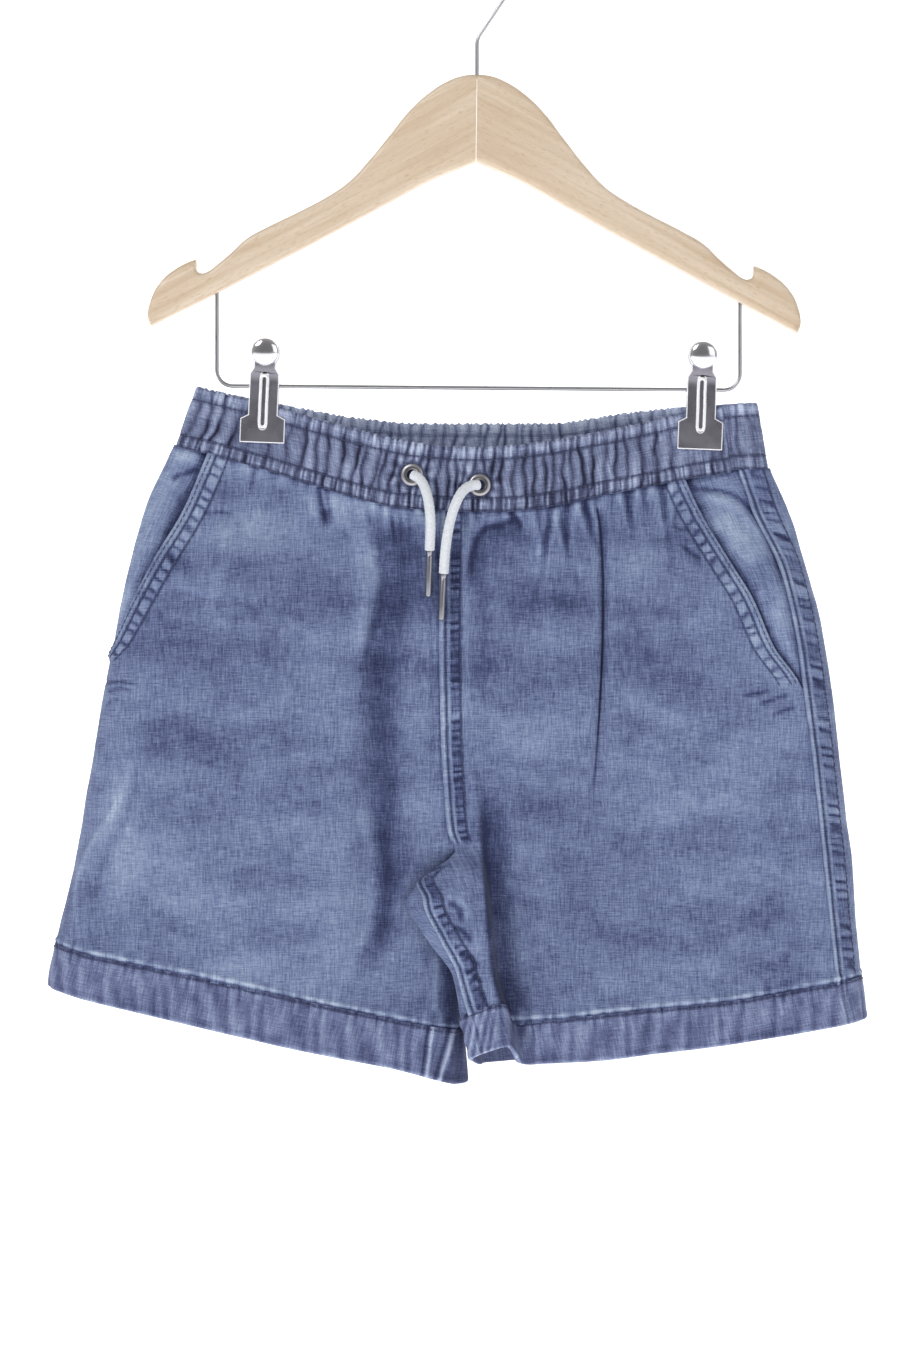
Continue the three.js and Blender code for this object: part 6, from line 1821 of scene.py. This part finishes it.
def slot_rim(side):
    """The slot's edge is drawn up into a rounded rim with the painted highlight; the clip's inner leaf shows
    through it.
    """
    piece = disc(16, RIM)
    bpy.ops.transform.resize(value=(1, 0.75, 1))
    bpy.ops.transform.translate(value=(-SLOT_HALF * MM, 0, SLOT_FOOT * MM))
    for back, up in RIM_RUNS:
        run_on(0, up, back)
    centre = (0, 1.5 * MM, SLOT_TOP * MM)
    bpy.ops.mesh.spin(steps=14, angle=math.pi, center=centre, axis=FRONT_VIEW)
    for back, up in reversed(RIM_RUNS):
        run_on(0, -up, -back)
    bpy.ops.mesh.spin(steps=14, angle=math.pi, center=(0, 0, SLOT_FOOT * MM), axis=FRONT_VIEW)
    # The rim has run round to its start, so the two end discs inside it go.
    bpy.ops.mesh.select_all(action="SELECT")
    bpy.ops.mesh.remove_doubles(threshold=1e-6)
    pick(piece, lambda at: abs(at.z - SLOT_FOOT) < 0.05, "FACE")
    bpy.ops.mesh.delete(type="ONLY_FACE")
    end_edit()
    x, z = CLIP_BARS[side]
    piece.rotation_euler = (0, CLIP_LEAN, 0)
    piece.location = (x * MM, -4.4 * MM, z * MM)
    settle(piece, "clip_slot_rim_" + side, painted_highlight_edge, (), 50)
    bpy.ops.mesh.primitive_cube_add(size=1, location=(0, 0, 0))
    leaf = bpy.context.object
    begin_edit(leaf)
    bpy.ops.transform.resize(value=(4.4 * MM, 0.7 * MM, 25 * MM))
    bpy.ops.mesh.subdivide(number_cuts=4)
    pick(leaf, lambda at: at.z > 4.9)
    bpy.ops.transform.translate(value=(0, 1.6 * MM, 0))
    bpy.ops.mesh.select_all(action="SELECT")
    end_edit()
    leaf.rotation_euler = (0, CLIP_LEAN, 0)
    leaf.location = (x * MM, -3.2 * MM, (z - 7.2) * MM)
    settle(leaf, "clip_inner_leaf_" + side, plated_steel, (), 50)


def clip_piece(side):
    piece = bpy.data.objects.new("clip_copy", nodes["clip_" + side].data.copy())
    bpy.context.scene.collection.objects.link(piece)
    begin_edit(piece)
    bpy.ops.mesh.remove_doubles(threshold=1e-5)
    bpy.ops.mesh.dissolve_limited(angle_limit=math.radians(1))
    place = Vector((CLIP_BARS[side][0], 0, CLIP_BARS[side][1])) * MM
    up = Vector((math.sin(CLIP_LEAN), 0, math.cos(CLIP_LEAN)))
    for height in CLIP_ROWS:
        bpy.ops.mesh.select_all(action="SELECT")
        bpy.ops.mesh.bisect(plane_co=place + up * height * MM, plane_no=up)
    end_edit()
    level = np.linspace(-18, 22, BEND_SAMPLES)
    sharp = np.interp(level, CLIP_BENDS[0], CLIP_BENDS[1])
    even = np.ones(BEND_SPREAD) / BEND_SPREAD
    rounded = np.convolve(np.pad(sharp, BEND_SPREAD // 2, "edge"), even, "valid")
    for vertex in piece.data.vertices:
        height = (vertex.co - place).dot(up) / MM
        moved = float(np.interp(height, level, rounded - sharp))
        vertex.co.y += moved * math.copysign(MM, vertex.co.y)
    piece.data.materials.clear()
    piece.data.materials.append(plated_steel)
    piece.data.materials.append(painted_highlight_edge)
    # Round the front face runs a narrow border that takes the painted highlight with the edge.
    begin_edit(piece)
    shape = bmesh.from_edit_mesh(piece.data)
    for face in shape.faces:
        face.select = face.normal.y < -0.9
        face.material_index = int(face.select)
    bmesh.update_edit_mesh(piece.data)
    bpy.ops.mesh.inset(thickness=BORDER * MM)
    piece.active_material_index = 0
    bpy.ops.object.material_slot_assign()
    end_edit()
    bpy.ops.object.shade_smooth_by_angle(angle=math.radians(25))
    bevel = piece.modifiers.new("edges", "BEVEL")
    bevel.width, bevel.segments, bevel.angle_limit = EDGE_ROUND * MM, 2, math.radians(40)
    bevel.use_clamp_overlap = True
    bevel.harden_normals = True
    # The bevelled faces take the painted highlight finish.
    bevel.material = 1
    bpy.ops.object.modifier_apply(modifier="edges")
    piece.name = "clip_sheet_" + side
    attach(piece, BODY)
    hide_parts("clip_" + side)
    print(piece.name, len(piece.data.polygons), "faces")
    slot_rim(side)
    x, z = KNOBS[side]
    bpy.ops.mesh.primitive_uv_sphere_add(
        segments=48, ring_count=24, radius=KNOB_CAP * MM, location=(0, 0, 0)
    )
    cap = bpy.context.object
    begin_edit(cap)
    bpy.ops.mesh.bisect(plane_co=(0, 0, 0), plane_no=(0, 1, 0), clear_outer=True, use_fill=True)
    bpy.ops.mesh.select_all(action="SELECT")
    bpy.ops.transform.resize(value=(1, KNOB_DOME, 1))
    end_edit()
    cap.rotation_euler = (KNOB_TILT, 0, 0)
    cap.location = (x * MM, KNOB_FRONT * MM, z * MM)
    settle(cap, "clip_knob_" + side, knob_steel, (), 40)


for side in ("left", "right"):
    clip_piece(side)

# %% [markdown]
# Each arm is sawn from a beech board along its grain and its edges are rounded over with a cutter. The
# outline is a curve through measured points, given depth and a round edge, turned to a mesh and cut square
# where the two arms meet.

# %% Outline of an arm: distance from the middle and drop below the top
ARM_OUTLINE = (
    (-6, 0.2), (0.2, 0.3), (7, 1), (13.5, 3.3), (23.5, 9.5), (33.5, 18.8), (43.5, 31.5), (53.5, 44),
    (63.5, 54.8), (73.5, 61.8), (88.5, 70), (103.5, 77.5), (114, 83.5), (122, 91), (129, 97), (133.5, 100.3),
    (136.5, 101), (138.6, 99.6), (139.2, 94.2), (143, 95.6), (149, 98.8), (157.5, 106.5), (161.5, 114.5),
    (163, 123), (161.5, 127.5), (153.5, 123.2), (133.5, 113), (103.5, 97), (73.5, 81), (43.5, 64.5),
    (23.5, 53.5), (0.2, 43.6), (-6, 41),
)
# These points of the outline are corners: both ends of the middle cut, the notch and the arm's tip.
SHARP = (0, 18, 24, len(ARM_OUTLINE) - 1)
WOOD_TOP, WOOD_THICK, WOOD_ROUND, WOOD_TILT = -75.5, 12.0, 2.5, math.radians(0.65)
JOINT_HALF = 0.14


def arm_piece(side, material):
    sign = SIGN[side]
    board = bpy.data.curves.new("arm_outline", "CURVE")
    board.dimensions, board.fill_mode = "2D", "BOTH"
    board.extrude, board.bevel_depth = (WOOD_THICK / 2 - WOOD_ROUND) * MM, WOOD_ROUND * MM
    board.offset, board.bevel_resolution, board.resolution_u = -WOOD_ROUND * MM, 3, 6
    spline = board.splines.new("BEZIER")
    spline.bezier_points.add(len(ARM_OUTLINE) - 1)
    spline.use_cyclic_u = True
    for i, (out, drop) in enumerate(ARM_OUTLINE):
        point = spline.bezier_points[i]
        point.co = (sign * out * MM, -drop * MM, 0)
        point.handle_left_type = point.handle_right_type = "VECTOR" if i in SHARP else "AUTO"
    piece = bpy.data.objects.new("arm", board)
    bpy.context.scene.collection.objects.link(piece)
    bpy.ops.object.select_all(action="DESELECT")
    piece.select_set(True)
    bpy.context.view_layer.objects.active = piece
    bpy.ops.object.convert(target="MESH")
    piece = bpy.context.object
    begin_edit(piece)
    bpy.ops.mesh.remove_doubles(threshold=1e-5)
    cut = dict(plane_co=(sign * JOINT_HALF * MM, 0, 0), plane_no=(-sign, 0, 0))
    bpy.ops.mesh.bisect(clear_outer=True, use_fill=True, **cut)
    end_edit()
    piece.rotation_euler = (math.pi / 2, WOOD_TILT, 0)
    piece.location = (0, 0, WOOD_TOP * MM)
    return settle(piece, "wood_arm_" + side, material, ["hanger_arm_" + side], 30)


# %% [markdown]
# Beech is pale, with faint bands along the grain and many short darker flecks. The grain follows each arm,
# so the pattern is turned to the arm's slope. Clear varnish gives a soft gloss.

# %% Beech
def beech(name, slope):
    material, tree, shader = new_material(name)
    place = node(tree, "TexCoord")
    turn = (0, math.radians(slope), 0)
    turned = node(tree, "Mapping", [(place, "Object", "Vector")], in_Rotation=turn)
    # Bands are some 80 mm long and 4 mm wide, and flecks about 4 mm long and half a millimetre wide.
    along = node(tree, "Mapping", [(turned, "Vector", "Vector")], in_Scale=(12, 120, 260))
    grain = dict(in_Scale=1.0, in_Detail=4.0, in_Distortion=0.6)
    bands = node(tree, "TexNoise", [(along, "Vector", "Vector")], **grain)
    short = node(tree, "Mapping", [(turned, "Vector", "Vector")], in_Scale=(260, 1500, 1900))
    flecks = node(tree, "TexNoise", [(short, "Vector", "Vector")], in_Scale=1.0, in_Detail=1.0)
    ramp = node(tree, "ValToRGB", [(bands, "Fac", "Fac")])
    for element, at, code in zip(ramp.color_ramp.elements, (0.3, 0.68), ("#cbb397", "#dfcdb8")):
        element.position, element.color = at, linear(code)
    fleck_range = dict(in_1=0.57, in_2=0.72, in_3=0.0, in_4=0.5)
    fleck = node(tree, "MapRange", [(flecks, "Fac", "Value")], **fleck_range)
    colour = node(tree, "Mix", data_type="RGBA")
    tree.links.new(fleck.outputs["Result"], colour.inputs[0])
    tree.links.new(ramp.outputs["Color"], colour.inputs[6])
    colour.inputs[7].default_value = linear("#b7946b")
    tree.links.new(colour.outputs[2], shader.inputs["Base Color"])
    gloss_range = dict(in_1=0.3, in_2=0.7, in_3=0.48, in_4=0.36)
    gloss = node(tree, "MapRange", [(bands, "Fac", "Value")], **gloss_range)
    tree.links.new(gloss.outputs["Result"], shader.inputs["Roughness"])
    rise = 0.1 * MM
    bump = node(tree, "Bump", [(bands, "Fac", "Height")], in_Strength=0.25, in_Distance=rise)
    tree.links.new(bump.outputs["Normal"], shader.inputs["Normal"])
    shader.inputs["Coat Weight"].default_value = 0.25
    shader.inputs["Coat Roughness"].default_value = 0.3
    return material


for side, slope in (("left", 28), ("right", -28)):
    arm_piece(side, beech("varnished_beech_" + side, slope))

# %% [markdown]
# Last, each sheet of cloth says how large it was cut. Woven cotton hardly stretches, so the flat size is
# read along the finished sheet's own grid, over every gather and fold: a gathered band was cut longer
# than it hangs. Seam allowances are left out.

# %% Cut sizes of the cloth
def cut_size(cloth):
    face = cloth.outer()
    width = np.linalg.norm(np.diff(face, axis=1), axis=2).sum(1).max()
    length = np.linalg.norm(np.diff(face, axis=0), axis=2).sum(0).max()
    side_a = np.diff(face, axis=1)[:-1]
    side_b = np.diff(face, axis=0)[:, :-1]
    area = np.linalg.norm(np.cross(side_a, side_b), axis=2).sum()
    return width * MM, length * MM, area * MM * MM


SHEETS = [
    ("waistband_front", bands["front"], "gathered", ["clip_left", "clip_right"]),
    ("waistband_back", bands["back"], "gathered", ["clip_left", "clip_right"]),
]
for side in ("left", "right"):
    SHEETS += [
        ("front_" + side, fronts[side], "hung", ["waistband_front"]),
        ("back_" + side, backs[side], "hung", ["waistband_back"]),
        ("pocket_facing_" + side, facings[side], "hung", ["waistband_front"]),
        ("hem_" + side, hems[side], "hung", ["front_" + side, "back_" + side]),
    ]
for name, cloth, held, rests_on in SHEETS:
    width, length, area = cut_size(cloth)
    flat = [round(width / MM), round(length / MM)]
    print(name, "cut", flat, "mm,", round(area * 1e4), "cm2")

# %% Sizes, then the end
low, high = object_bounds()
print("size", [round((b - a) * 1000, 1) for a, b in zip(low, high)])
